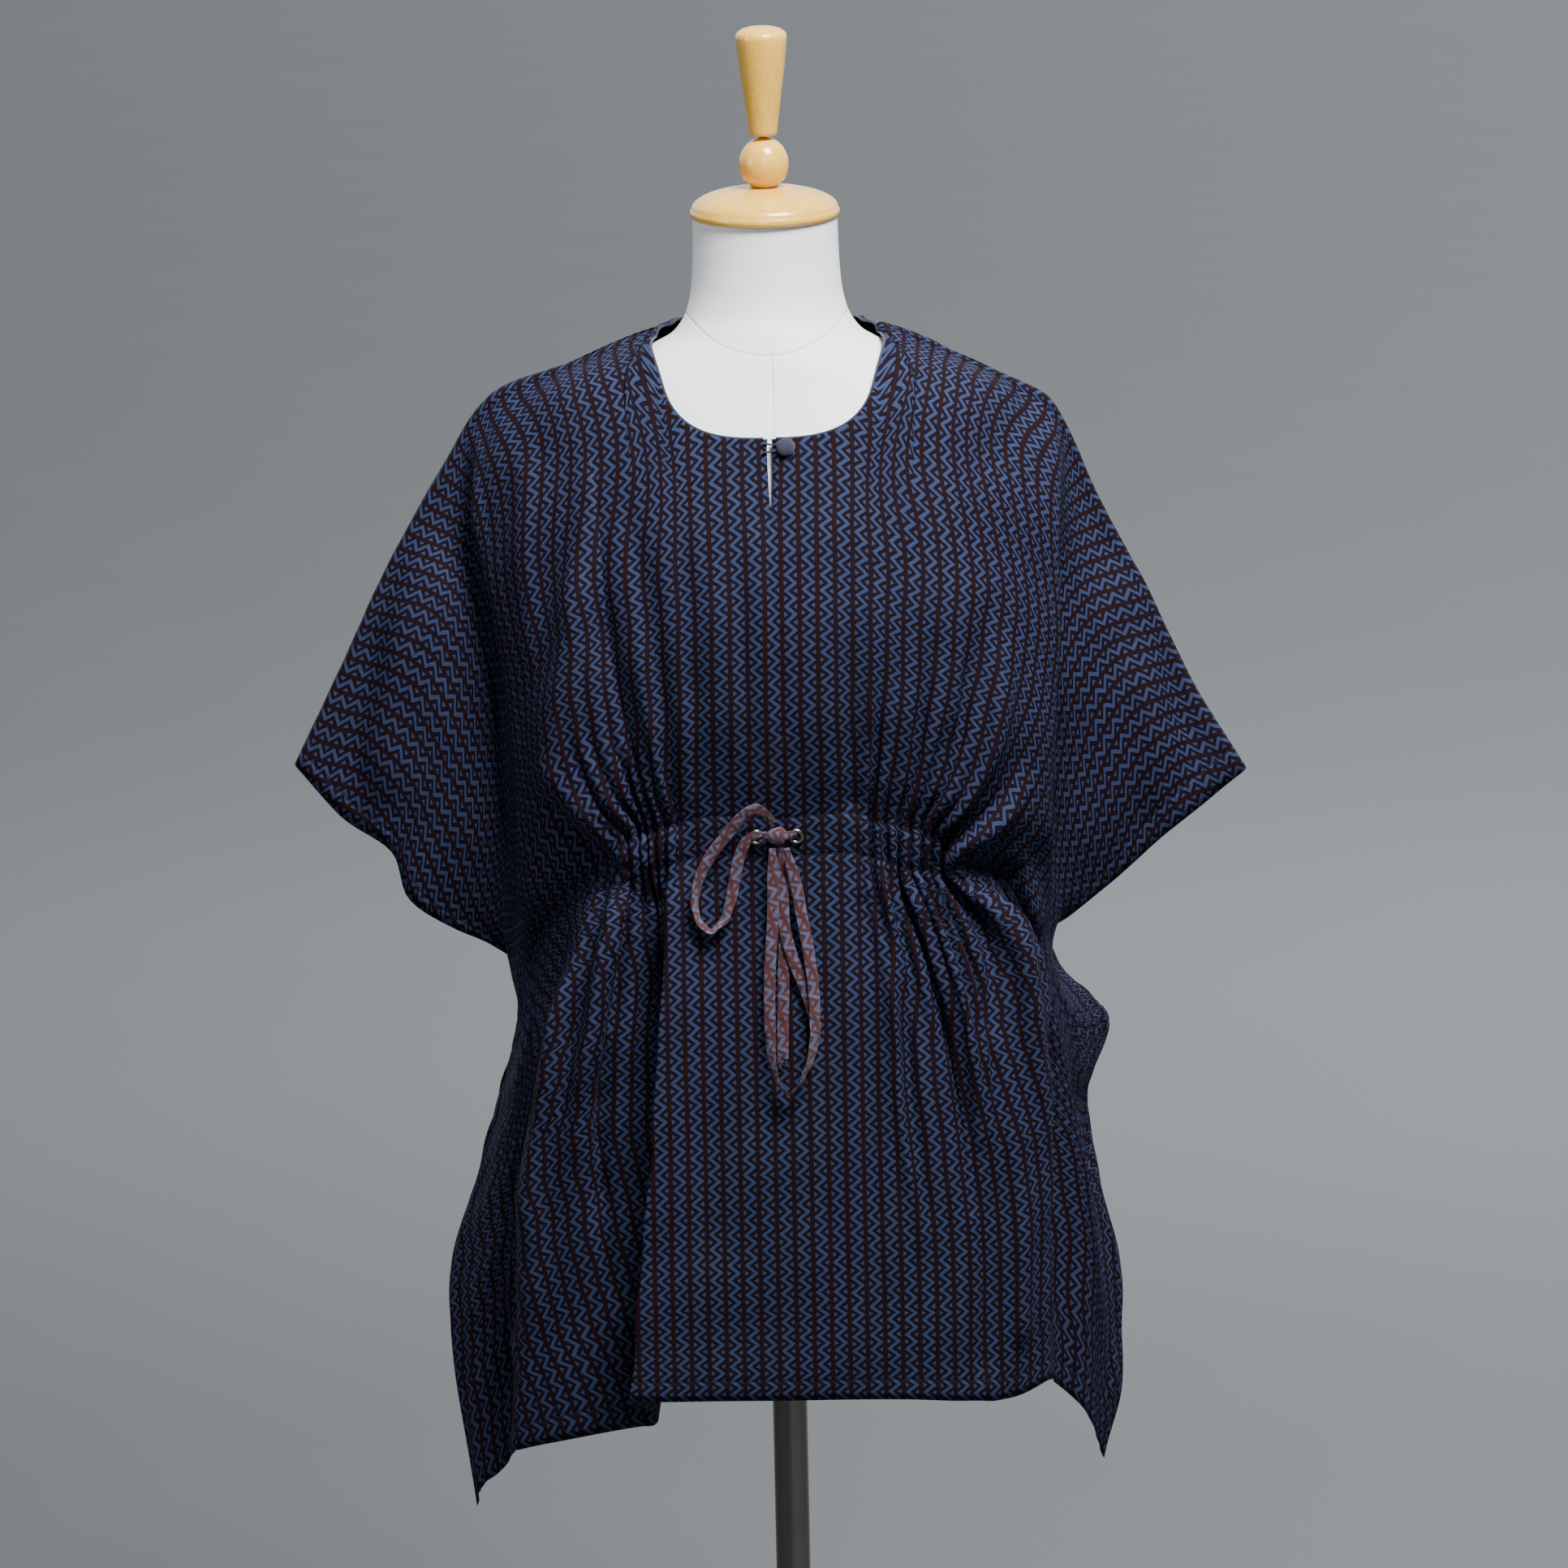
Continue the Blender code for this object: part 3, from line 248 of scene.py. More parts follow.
def flat_cloth(start, wobble):
    """Place in the flat cloth in millimetres, across and down, with the print's slight wobble."""
    cut = start.node("ShaderNodeUVMap", {"uv_map": "cut"})
    across, down, _ = cut.parts()
    shake = cut.noise(5.0, 1.0) - 0.5
    lean = cut.noise(3.0, 1.0) - 0.5
    return cut, across * 1000 + shake * wobble, down * 1000 + lean * wobble


def weave_height(across, down, thread):
    """Plain weave: the product of two sines, one thread up where the next one is down."""
    return across.waves(2 * thread) * down.waves(2 * thread)


tie_tape, start = new_finish("tie_tape", Roughness=0.85, Sheen_Weight=0.15)
cut, across, down = flat_cloth(start, 1.6)
motif, stripe = zigzag_print(across * 0.94 + down * 0.34 + 2.0, down * 0.94 - across * 0.34, 0.5)
worn = cut.noise(2.2, 3.0)
red, blue = worn.shades(BRICK_RED, 0.62, 1.25), worn.shades(MAUVE_BLUE, 0.75, 1.15)
feed(tie_tape, Base_Color=motif.colour(red, blue), bump_distance=0.25,
     height=weave_height(across, down, 0.5) * 0.5 + cut.noise(4.0, 2.0) * 1.5)


def unit(vectors):
    """Each vector at length 1."""
    return vectors / np.linalg.norm(vectors, axis=-1, keepdims=True)


def run_along(points):
    """Length from the start of a path to each of its points."""
    return np.concatenate([[0], np.cumsum(np.linalg.norm(np.diff(points, axis=0), axis=1))])


def cubic(t, start, start_slope, end, end_slope):
    """Cubic from start to end while t goes from 0 to 1, with the given slopes at its ends."""
    return ((2 * t**3 - 3 * t**2 + 1) * start + (t**3 - 2 * t**2 + t) * start_slope
            + (3 * t**2 - 2 * t**3) * end + (t**3 - t**2) * end_slope)


def smooth_path(route, count):
    """Even points on a smooth curve through the route: cubics whose slopes follow the chords."""
    points = np.asarray(route, float)
    length = run_along(points)
    tangent = np.gradient(points, length, axis=0)
    fine = np.linspace(0, length[-1], 6 * count)
    span = np.clip(np.searchsorted(length, fine, side="right") - 1, 0, len(points) - 2)
    width = (length[span + 1] - length[span])[:, None]
    t = (fine - length[span])[:, None] / width
    curve = cubic(t, points[span], width * tangent[span], points[span + 1], width * tangent[span + 1])
    run = run_along(curve)
    even = np.linspace(0, run[-1], count)
    return np.stack([np.interp(even, run, curve[:, k]) for k in range(3)], axis=1)


def quads_of(index):
    """Quads between the neighbouring numbers of a table of corners."""
    corners = (index[:-1, :-1], index[1:, :-1], index[1:, 1:], index[:-1, 1:])
    return np.stack(corners, axis=-1).reshape(-1, 4)


def add_piece(name, points, faces, finish, slot, cut=None, nodes=(), closed=True):
    """Makes a mesh piece from millimetre points, rides it on the body and gives it its finish.

    cut gives each corner's place in the flat cloth, one table for each UV map by its name. The
    faces of a closed piece are turned outwards.
    """
    mesh = bpy.data.meshes.new(name)
    mesh.from_pydata((np.asarray(points) * MM).tolist(), [], [list(map(int, f)) for f in faces])
    mesh.shade_smooth()
    corner = np.empty(len(mesh.loops), int)
    mesh.loops.foreach_get("vertex_index", corner)
    for map_name, places in (cut or {}).items():
        layer = mesh.uv_layers.new(name=map_name)
        layer.data.foreach_set("uv", (np.asarray(places)[corner] * MM).ravel())
    if closed:
        shell = bmesh.new()
        shell.from_mesh(mesh)
        bmesh.ops.recalc_face_normals(shell, faces=shell.faces)
        shell.to_mesh(mesh)
        shell.free()
    mesh.materials.append(finish)
    piece = bpy.data.objects.new(name, mesh)
    bpy.context.scene.collection.objects.link(piece)
    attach(piece, "root")
    if nodes:
        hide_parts(*nodes)
    return piece


def swept(path, across, out, outline):
    """Rings of an outline (across, out) carried along a path, and their faces with closed ends."""
    ring = (path[:, None, :] + outline[None, :, :1] * across[:, None, :]
            + outline[None, :, 1:] * out[:, None, :])
    index = np.arange(ring[..., 0].size).reshape(ring.shape[:2])
    index = np.concatenate([index, index[:, :1]], axis=1)
    faces = quads_of(index).tolist()
    faces += [index[0, :-1].tolist(), index[-1, :-1][::-1].tolist()]
    return ring, faces


def joined(parts):
    """One shape from several (points, faces, places in the flat cloth)."""
    points, faces, cut = zip(*parts)
    starts = np.cumsum([0] + [len(some) for some in points])
    faces = [[corner + start for corner in face] for start, some in zip(starts, faces) for face in some]
    return np.concatenate(points), faces, {"cut": np.concatenate(cut)}


def tape_sides(path, turns=((0, 0), (1, 0))):
    """Directions across and out of a tape: square to its path, turned from facing forward."""
    along = unit(np.gradient(path, axis=0))
    turn = np.interp(np.linspace(0, 1, len(path)), *np.array(turns, float).T)
    turn = np.radians(turn)[:, None]
    across = unit(np.cross(along, [0, -1.0, 0]))
    out = np.cross(across, along)
    return across * np.cos(turn) + out * np.sin(turn), out * np.cos(turn) - across * np.sin(turn)


def tape_outline(width, thick, cupped):
    """A flat oval outline: a squashed circle, its sides full, its middle cupped a little."""
    angle = np.arange(16) * 2 * math.pi / 16
    x = np.sign(np.cos(angle)) * np.abs(np.cos(angle)) ** 0.6 * width / 2
    y = np.sin(angle) * thick / 2 + cupped * (1 - (2 * x / width) ** 2)
    return np.stack([x, y], axis=1)


cloth_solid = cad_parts["front_panel"]
cloth_tree = BVHTree.FromPolygons(
    [tuple(cloth_solid.matrix_world @ v.co) for v in cloth_solid.data.vertices],
    [tuple(p.vertices) for p in cloth_solid.data.polygons])


def cloth_depth(x, z):
    """Depth of the front's outer face at a place seen from the front."""
    found = cloth_tree.ray_cast(Vector((x * MM, -0.4, z * MM)), Vector((0, 1, 0)))[0]
    return found.y / MM


random = np.random.default_rng(7)
knot_middle = np.array([KNOT_PLACE[0], cloth_depth(*KNOT_PLACE[:2]) - KNOT_PLACE[2], KNOT_PLACE[1]])
tie_pieces = {}
for name, (turns, route) in TIE_STRETCHES.items():
    laid = [(x, cloth_depth(x, z) - ahead, z) for x, z, ahead in route]
    path = smooth_path(laid, TAPE_RINGS)
    across, out = tape_sides(path, turns)
    run = np.linspace(0, run_along(path)[-1], TAPE_RINGS)
    outline = tape_outline(TAPE_WIDTH, TAPE_THICK, TAPE_CUPPED)
    ring, faces = swept(path, across, out, outline)
    gathered = 1 - KNOT_PINCH * np.exp(-(run / PINCH_REACH) ** 2)
    if name.startswith("tie_loop"):
        gathered -= KNOT_PINCH * np.exp(-((run[-1] - run) / PINCH_REACH) ** 2)
    ring = path[:, None] + (ring - path[:, None]) * gathered[:, None, None]
    ripple = 0.35 * np.sin(run / 3.1 + outline[:, :1] * 0.9) + 0.25 * np.sin(run / 1.9 + 2)
    ring += ripple.T[:, :, None] * out[:, None, :]
    cut = np.stack(np.broadcast_arrays(outline[None, :, 0], run[:, None]), axis=-1).reshape(-1, 2)
    piece = add_piece(name + "_tape", ring.reshape(-1, 3), faces, tie_tape, "tie_tape",
                      {"cut": cut}, [name])
    tie_pieces[name] = (piece, path, run[-1])

# The two tails end in a short fringe of threads, where the tape was cut and never hemmed.
THREAD_COUNT = 16
THREAD_HALF = 0.16
FRINGE_SHARE = 0.86
thread_outline = THREAD_HALF * np.array([(1, 0), (0, 1), (-1, 0), (0, -1)], float)
frayed = {}
for name in ("tie_tail_a", "tie_tail_b"):
    path = tie_pieces[name][1]
    aside = tape_sides(path[-3:])[0][-1]
    way = unit(path[-1] - path[-3])
    threads = []
    for k in range(THREAD_COUNT):
        spot = (k / (THREAD_COUNT - 1) - 0.5) * TAPE_WIDTH * FRINGE_SHARE
        reach, sway = random.uniform(2.5, 8.5), random.uniform(-3.0, 3.0)
        begin = path[-1] + aside * spot - (path[-1] - path[-2]) * 0.8
        bend = begin + way * reach * 0.5 + aside * sway * 0.3
        tip = begin + way * reach + aside * sway + np.array([0, random.uniform(-1, 0.4), 0])
        thread = smooth_path([begin, bend, tip], 7)
        ring, faces = swept(thread, *tape_sides(thread), thread_outline)
        spots = np.full((ring[..., 0].size, 2), (k * 3.7, k * 1.3))
        threads.append((ring.reshape(-1, 3), faces, spots))
    points, faces, cut = joined(threads)
    frayed[name] = add_piece(name + "_fray", points, faces, tie_tape, "tie_tape", cut)

# The knot: the tape wrapped over itself, with a short lead to each eyelet.
EYELETS = (-15.0, 12.5)
WAIST_Z = 1069
LEAD_WIDTH, LEAD_THICK, LEAD_CUPPED = 5.4, 1.6, 0.3
around = np.linspace(0, 2 * math.pi, 49)[:-1, None]
band = np.linspace(0, math.pi, 25)[None]
lump = np.stack(np.broadcast_arrays(
    np.cos(band), np.sin(around) * np.sin(band), np.cos(around) * np.sin(band)), axis=-1)
wraps = 1 - 0.09 * np.abs(np.sin(2.5 * band + 0.8 * np.sin(around))) ** 3
lump = knot_middle + lump * np.array(KNOT_HALF) * wraps[..., None]
index = np.arange(wraps.size).reshape(wraps.shape)
lump_cut = np.stack(np.broadcast_arrays(band * 7, around * 5), axis=-1)
knot = [(lump.reshape(-1, 3), quads_of(np.concatenate([index, index[:1]]))[:, ::-1].tolist(),
         lump_cut.reshape(-1, 2))]
for x, way in zip(EYELETS, (-1, 1)):
    edge = knot_middle + np.array([way * KNOT_HALF[0] * 0.7, -1.2, 0.5])
    hole = np.array([x - 0.6 * way, cloth_depth(x, WAIST_Z) + 0.4, WAIST_Z])
    lead = smooth_path([edge, (edge + hole) / 2 + np.array([0, -2.2, 1.2]), hole], 14)
    ring, faces = swept(lead, *tape_sides(lead, [(0, 8), (1, -8)]),
                        tape_outline(LEAD_WIDTH, LEAD_THICK, LEAD_CUPPED))
    knot.append((ring.reshape(-1, 3), faces, ring[..., [2, 0]].reshape(-1, 2)))
points, faces, cut = joined(knot)
tie_knot = add_piece("tie_knot_wrapped", points, faces, tie_tape, "tie_tape", cut, ["tie_knot"])

for name, (piece, path, length) in tie_pieces.items():
    on_it = [frayed[name]] if name in frayed else []
    if name == "tie_loop_left":
        on_it.append(tie_knot)
    tuple(path[0] * MM)
    length * MM
    (path * MM).tolist()

# The cloth: light printed cotton, a front and a back, each cut in one piece with its half of the
# wide sleeves. They join along the shoulders and down the sides between cuff and side slit, and
# are drawn in by a casing at the waist. The numbered sizes below are of the flat cut.
PANEL_LENGTH = 795
FLAT_HALF_WIDTH = 503
HEM = 15
NECK_HALF_WIDTH = 76
NECK_CUT = {-1: 110, 1: 22}
NECK_Z = {-1: 1341, 1: 1404}
SHOULDER_NECK_Z = 1409.5
BACK_NECK_RISE = 7
NECK_ROUNDNESS = 2 / 3
NECK_TURN = 0.35
NECK_EASE = 25.0
SLIT_LENGTH = 48
SLIT_HALF_GAP = 2.1
CUFF_DEPTH = 235
SIDE_SLIT_START = 675
CASING_STITCHES = (376, 404)
CASING_DOWN = 390
CLOTH_THICK = 0.7
SEAM_GAP = 0.3
FORM_GAP, PRESSED_GAP = 2.8, 1.2
PLACKET_ASIDE = 52.0
EDGE_TURN = 4.0
EVEN_FROM = 210
NAVY_GROUND = (0.0028, 0.0016, 0.0062)
MAROON = (0.0118, 0.0034, 0.0056)
ZIGZAG_BLUE = (0.0290, 0.0410, 0.0980)
CREASE_DEPTH = 2.3
CREASE_NARROWING = 0.82
CREASE_STEPS = 40
GATHER_DEPTH = 1.45
CRUMPLE_WAVES, CRUMPLE_HEIGHT = 8, 0.26
CRUMPLE_LENGTHS = (34, 95)
STITCH_SINK, STITCH_REACH = 0.8, 1.9
CHANNEL_RISE, CHANNEL_REACH = 0.5, 12
# How far down the cut the neckline, the line's own place in the print and the lines' roundness
# above the casing fade out
NECK_FADE, PRINT_FADE, CASING_FADE = 150, 130, 60

# Each row is a section of the dress form: height, half width, front and back depth, squareness
FORM_SECTIONS = [
    (1486, 51.0, 49, 49, 2.0), (1462, 51.5, 49, 49, 2.0), (1440, 53.0, 50, 50, 2.0),
    (1422, 57.0, 53, 52, 2.0), (1408, 66.0, 59, 57, 2.0), (1400, 80.0, 62, 60, 2.0),
    (1388, 112.0, 67, 66, 2.1), (1374, 147.0, 72, 74, 2.2), (1360, 167.0, 78, 81, 2.3),
    (1342, 174.5, 86, 88, 2.3), (1310, 173.0, 99, 95, 2.3), (1260, 165.0, 115, 99, 2.3),
    (1205, 158.0, 123, 98, 2.3), (1150, 151.0, 117, 94, 2.2), (1090, 134.0, 97, 86, 2.2),
    (1040, 123.0, 86, 82, 2.2), (985, 134.0, 93, 90, 2.2), (915, 154.0, 103, 103, 2.2),
    (845, 163.0, 107, 110, 2.2), (780, 162.0, 104, 107, 2.2), (746, 159.0, 101, 104, 2.2),
    (737, 152.0, 95, 98, 2.2), (735, 142.0, 86, 89, 2.2)]

# Lines down the front, from the viewer's left edge to the right edge, and down the back's middle.
# Each row: distance down the cut, x, y, z
FRONT_LINES = [
    ("left_edge", [(0, -340, 0, 1107), (48, -309, -8, 1070), (96, -272, -13, 1042), (125, -264, -16, 1014),
     (166, -232, -14, 989), (200, -205, -10, 975), (235, -187, 0, 957), (300, -187, 0, 930),
     (390, -192, 0, 900), (440, -198, 0, 880), (500, -208, 0, 848), (560, -220, 0, 805),
     (620, -234, 0, 765), (675, -244, 0, 715), (720, -242, -8, 668), (795, -228, -15, 560)]),
    ("left_sleeve_outer", [(0, -304, 0, 1178), (50, -266, -22, 1150), (100, -235, -26, 1105),
     (150, -212, -24, 1050), (200, -200, -20, 1005), (250, -192, -18, 965), (320, -186, -24, 935),
     (404, -182, -30, 925), (460, -188, -34, 885), (520, -196, -30, 850), (620, -214, -26, 775),
     (710, -224, -24, 690), (795, -222, -26, 580)]),
    ("left_sleeve_inner", [(0, -268, 0, 1250), (50, -232, -26, 1225), (100, -206, -24, 1175),
     (160, -194, -20, 1110), (220, -188, -24, 1048), (290, -184, -38, 996), (340, -180, -36, 982),
     (390, -174, -32, 972), (440, -176, -32, 942), (520, -181, -32, 880), (620, -192, -30, 800),
     (710, -202, -28, 715), (795, -210, -30, 590)]),
    ("left_valley", [(0, -232, 0, 1311), (60, -205, -14, 1262), (110, -196, -20, 1215),
     (170, -188, -24, 1150), (240, -184, -34, 1090), (300, -183, -48, 1045), (345, -172, -56, 1024),
     (390, -146, -60, 1018), (440, -150, -58, 985), (520, -168, -50, 905), (620, -178, -44, 820),
     (710, -186, -40, 730), (795, -200, -38, 606)]),
    ("left_crest", [(0, -191, 0, 1367), (60, -199, -30, 1318), (130, -194, -46, 1255),
     (210, -182, -56, 1180), (270, -177, -62, 1120), (320, -170, -68, 1075), (350, -150, -76, 1050),
     (390, -122, -80, 1036), (440, -136, -88, 1000), (520, -165, -88, 920), (620, -178, -81, 820),
     (710, -181, -76, 722), (795, -195, -66, 618)]),
    ("left_bust", [(0, -140, 0, 1385), (60, -146, -46, 1352), (130, -142, -78, 1292),
     (210, -146, -92, 1214), (290, -152, -96, 1140), (340, -132, -97, 1092), (376, -109, -93, 1062),
     (404, -107, -90, 1036), (440, -114, -100, 1010), (520, -126, -103, 932), (620, -141, -98, 836),
     (710, -150, -91, 738), (795, -155, -85, 632)]),
    ("left_return", [(0, -104, 0, 1399), (60, -120, -48, 1362), (130, -118, -85, 1300),
     (210, -115, -105, 1224), (290, -106, -110, 1154), (340, -93, -106, 1104), (376, -85, -99, 1074),
     (404, -84, -97, 1047), (440, -80, -90, 1012), (520, -80, -80, 936), (620, -82, -84, 836),
     (715, -86, -90, 738), (750, -89, -78, 690), (795, -92, -62, 636)]),
    ("left_knife", [(0, -76, 0, 1409.5), (20, -85, -18, 1401), (60, -95, -52, 1370), (130, -94, -89, 1304),
     (210, -88, -112, 1229), (290, -82, -116, 1160), (340, -76, -110, 1110), (376, -70, -102, 1078),
     (404, -70, -101, 1051), (440, -77, -112, 1016), (520, -84, -121, 938), (620, -93, -125, 840),
     (710, -104, -127, 750), (795, -111, -128, 673)]),
    ("left_placket", [(92, -52, -76, 1350), (130, -55, -93, 1315), (210, -60, -116, 1238),
     (290, -60, -120, 1165), (340, -58, -113, 1116), (376, -57, -104, 1082), (404, -57, -102, 1054),
     (440, -59, -106, 1018), (520, -66, -117, 939), (620, -76, -123, 840), (710, -84, -126, 751),
     (795, -88, -128, 672)]),
    ("centre", [(NECK_CUT[-1], 0, -85, NECK_Z[-1]), (160, 0, -103, 1292), (230, 0, -123, 1225),
     (290, 0, -124, 1166), (340, 0, -116, 1117), (376, 0, -107, 1082), (404, 0, -104, 1054),
     (440, 0, -107, 1018), (520, 0, -117, 939), (620, 0, -124, 840), (710, 0, -127, 751),
     (795, 0, -129, 671)]),
    ("right_placket", [(92, 52, -76, 1350), (130, 55, -93, 1315), (210, 60, -116, 1238),
     (290, 60, -120, 1165), (340, 58, -113, 1116), (376, 57, -104, 1082), (404, 57, -102, 1054),
     (440, 60, -106, 1018), (520, 68, -116, 939), (620, 76, -122, 840), (710, 82, -125, 751),
     (795, 86, -126, 669)]),
    ("right_neck", [(0, 76, 0, 1409.5), (20, 85, -18, 1400), (60, 96, -52, 1369), (130, 97, -89, 1303),
     (210, 94, -112, 1226), (290, 88, -116, 1156), (340, 82, -110, 1108), (376, 76, -101, 1074),
     (404, 76, -98, 1048), (440, 84, -104, 1014), (520, 104, -112, 936), (620, 116, -116, 838),
     (710, 120, -118, 749), (795, 122, -119, 665)]),
    ("right_bust", [(0, 150, 0, 1377), (60, 150, -46, 1345), (130, 150, -78, 1286), (210, 154, -94, 1210),
     (290, 150, -99, 1138), (340, 130, -99, 1092), (376, 111, -93, 1062), (404, 110, -90, 1037),
     (440, 126, -97, 1006), (520, 148, -102, 932), (620, 154, -104, 834), (710, 156, -104, 746),
     (795, 155, -103, 661)]),
    ("right_crest", [(0, 193, 0, 1358), (60, 200, -36, 1306), (130, 198, -52, 1240), (210, 195, -62, 1165),
     (260, 190, -70, 1118), (310, 170, -82, 1080), (345, 142, -90, 1058), (390, 121, -88, 1042),
     (440, 160, -86, 1004), (480, 180, -86, 972), (520, 185, -84, 935), (620, 187, -82, 840),
     (710, 186, -80, 752), (795, 184, -78, 666)]),
    ("right_valley", [(0, 231, 0, 1282), (40, 209, -16, 1258), (90, 191, -20, 1215), (160, 184, -28, 1150),
     (230, 192, -50, 1092), (290, 191, -62, 1060), (340, 172, -60, 1040), (390, 148, -60, 1030),
     (440, 157, -54, 998), (480, 160, -50, 960), (520, 168, -47, 925), (620, 184, -46, 838),
     (710, 188, -47, 750), (795, 190, -50, 655)]),
    ("right_sleeve_inner", [(0, 267, 0, 1210), (50, 230, -26, 1186), (100, 204, -26, 1140),
     (160, 192, -20, 1085), (220, 190, -26, 1030), (290, 188, -38, 985), (340, 186, -42, 980),
     (390, 184, -44, 968), (440, 189, -46, 942), (520, 199, -42, 893), (620, 206, -40, 828),
     (710, 212, -36, 745), (795, 214, -34, 625)]),
    ("right_sleeve_outer", [(0, 298, 0, 1146), (50, 262, -22, 1122), (100, 232, -26, 1075),
     (150, 210, -24, 1030), (200, 198, -20, 995), (250, 192, -18, 962), (320, 200, -24, 936),
     (390, 212, -26, 915), (440, 216, -22, 885), (500, 209, -18, 850), (560, 212, -18, 815),
     (620, 220, -20, 775), (710, 230, -20, 680), (795, 222, -22, 600)]),
    ("right_edge", [(0, 332, 0, 1090), (40, 301, -10, 1066), (75, 270, -14, 1043), (130, 235, -14, 1012),
     (190, 206, -10, 988), (235, 190, 0, 972), (300, 202, 0, 945), (360, 222, 0, 925), (410, 233, 0, 905),
     (470, 222, 0, 872), (520, 217, 0, 850), (600, 226, 0, 790), (650, 238, 0, 735), (675, 241, 0, 705),
     (740, 240, -9, 640), (795, 226, -14, 586)]),
]
BACK_MIDDLE_LINES = [
    ("left_blade", [(0, -140, 0, 1385), (60, -146, 52, 1350), (130, -142, 76, 1290), (210, -144, 82, 1210),
     (290, -146, 84, 1132), (340, -130, 88, 1088), (376, -114, 88, 1060), (404, -112, 86, 1034),
     (440, -122, 92, 1002), (520, -140, 102, 926), (620, -150, 108, 828), (710, -154, 109, 738),
     (795, -155, 108, 646)]),
    ("left_neck", [(0, -76, 0, 1409.5), (20, -84, 22, 1401), (60, -90, 64, 1369), (130, -88, 92, 1305),
     (210, -88, 98, 1226), (290, -84, 99, 1148), (340, -76, 97, 1102), (376, -70, 92, 1072),
     (404, -70, 90, 1044), (440, -78, 97, 1010), (520, -92, 112, 932), (620, -100, 121, 834),
     (710, -104, 124, 744), (795, -106, 125, 658)]),
    ("back_centre", [(NECK_CUT[1], 0, 60, NECK_Z[1]), (60, 0, 82, 1372), (130, 0, 98, 1306),
     (210, 0, 101, 1228), (290, 0, 100, 1150), (340, 0, 97, 1104), (376, 0, 91, 1074), (404, 0, 89, 1046),
     (440, 0, 96, 1012), (520, 0, 113, 935), (620, 0, 123, 836), (710, 0, 127, 746), (795, 0, 129, 660)]),
    ("right_neck", [(0, 76, 0, 1409.5), (20, 84, 22, 1400), (60, 90, 64, 1368), (130, 88, 92, 1304),
     (210, 88, 98, 1226), (290, 84, 99, 1148), (340, 76, 97, 1102), (376, 70, 92, 1072),
     (404, 70, 90, 1044), (440, 78, 97, 1010), (520, 94, 112, 932), (620, 102, 121, 834),
     (710, 106, 124, 744), (795, 108, 125, 658)]),
    ("right_blade", [(0, 150, 0, 1377), (60, 150, 52, 1343), (130, 148, 76, 1284), (210, 150, 82, 1206),
     (290, 148, 84, 1132), (340, 132, 88, 1088), (376, 116, 88, 1060), (404, 114, 86, 1034),
     (440, 124, 92, 1002), (520, 144, 102, 926), (620, 154, 108, 828), (710, 158, 109, 738),
     (795, 158, 108, 646)]),
]
LINE_ROUNDNESS = {"left_knife": (1.0, 0.2), "left_return": (1.0, 0.6), "right_crest": (0.6, 0.6)}
FRONT_COLUMNS = [9, 9, 11, 16, 20, 34, 20, 12, 13, 13, 20, 40, 28, 16, 11, 9, 8]
BACK_COLUMNS = [9, 9, 11, 14, 16, 34, 20, 20, 34, 16, 14, 11, 9, 9]
ROW_LEVELS = np.concatenate([
    [0, 1, 2.5, 4, 7, 11, 16], np.linspace(22, 330, 49)[:-1], np.linspace(330, 450, 47)[:-1],
    np.linspace(450, PANEL_LENGTH, 55)])

# Gathers at the casing. Each: first and last line, then a row for each fold: height of the fold,
# reach up and reach down the cut
FRONT_GATHERS = [
    ("left_bust", "left_knife", [(1.6, 60, 90), (2.4, 110, 120), (2.0, 70, 60), (2.6, 130, 100),
     (1.8, 60, 70), (2.4, 100, 60)]),
    ("right_placket", "right_crest", [(1.8, 130, 60), (2.5, 70, 170), (2.2, 120, 80), (3.2, 90, 210),
     (2.4, 130, 90), (3.3, 80, 160), (2.6, 110, 110), (2.9, 60, 130)]),
]
BACK_GATHERS = [
    ("left_blade", "left_neck", [(2.1, 80, 150), (2.6, 120, 90), (1.9, 60, 120), (2.7, 130, 180),
     (2.2, 90, 80), (2.4, 70, 140)]),
    ("right_neck", "right_blade", [(2.3, 110, 100), (2.7, 70, 170), (2.0, 100, 90), (2.5, 130, 140),
     (2.1, 60, 110), (2.6, 90, 160)]),
]

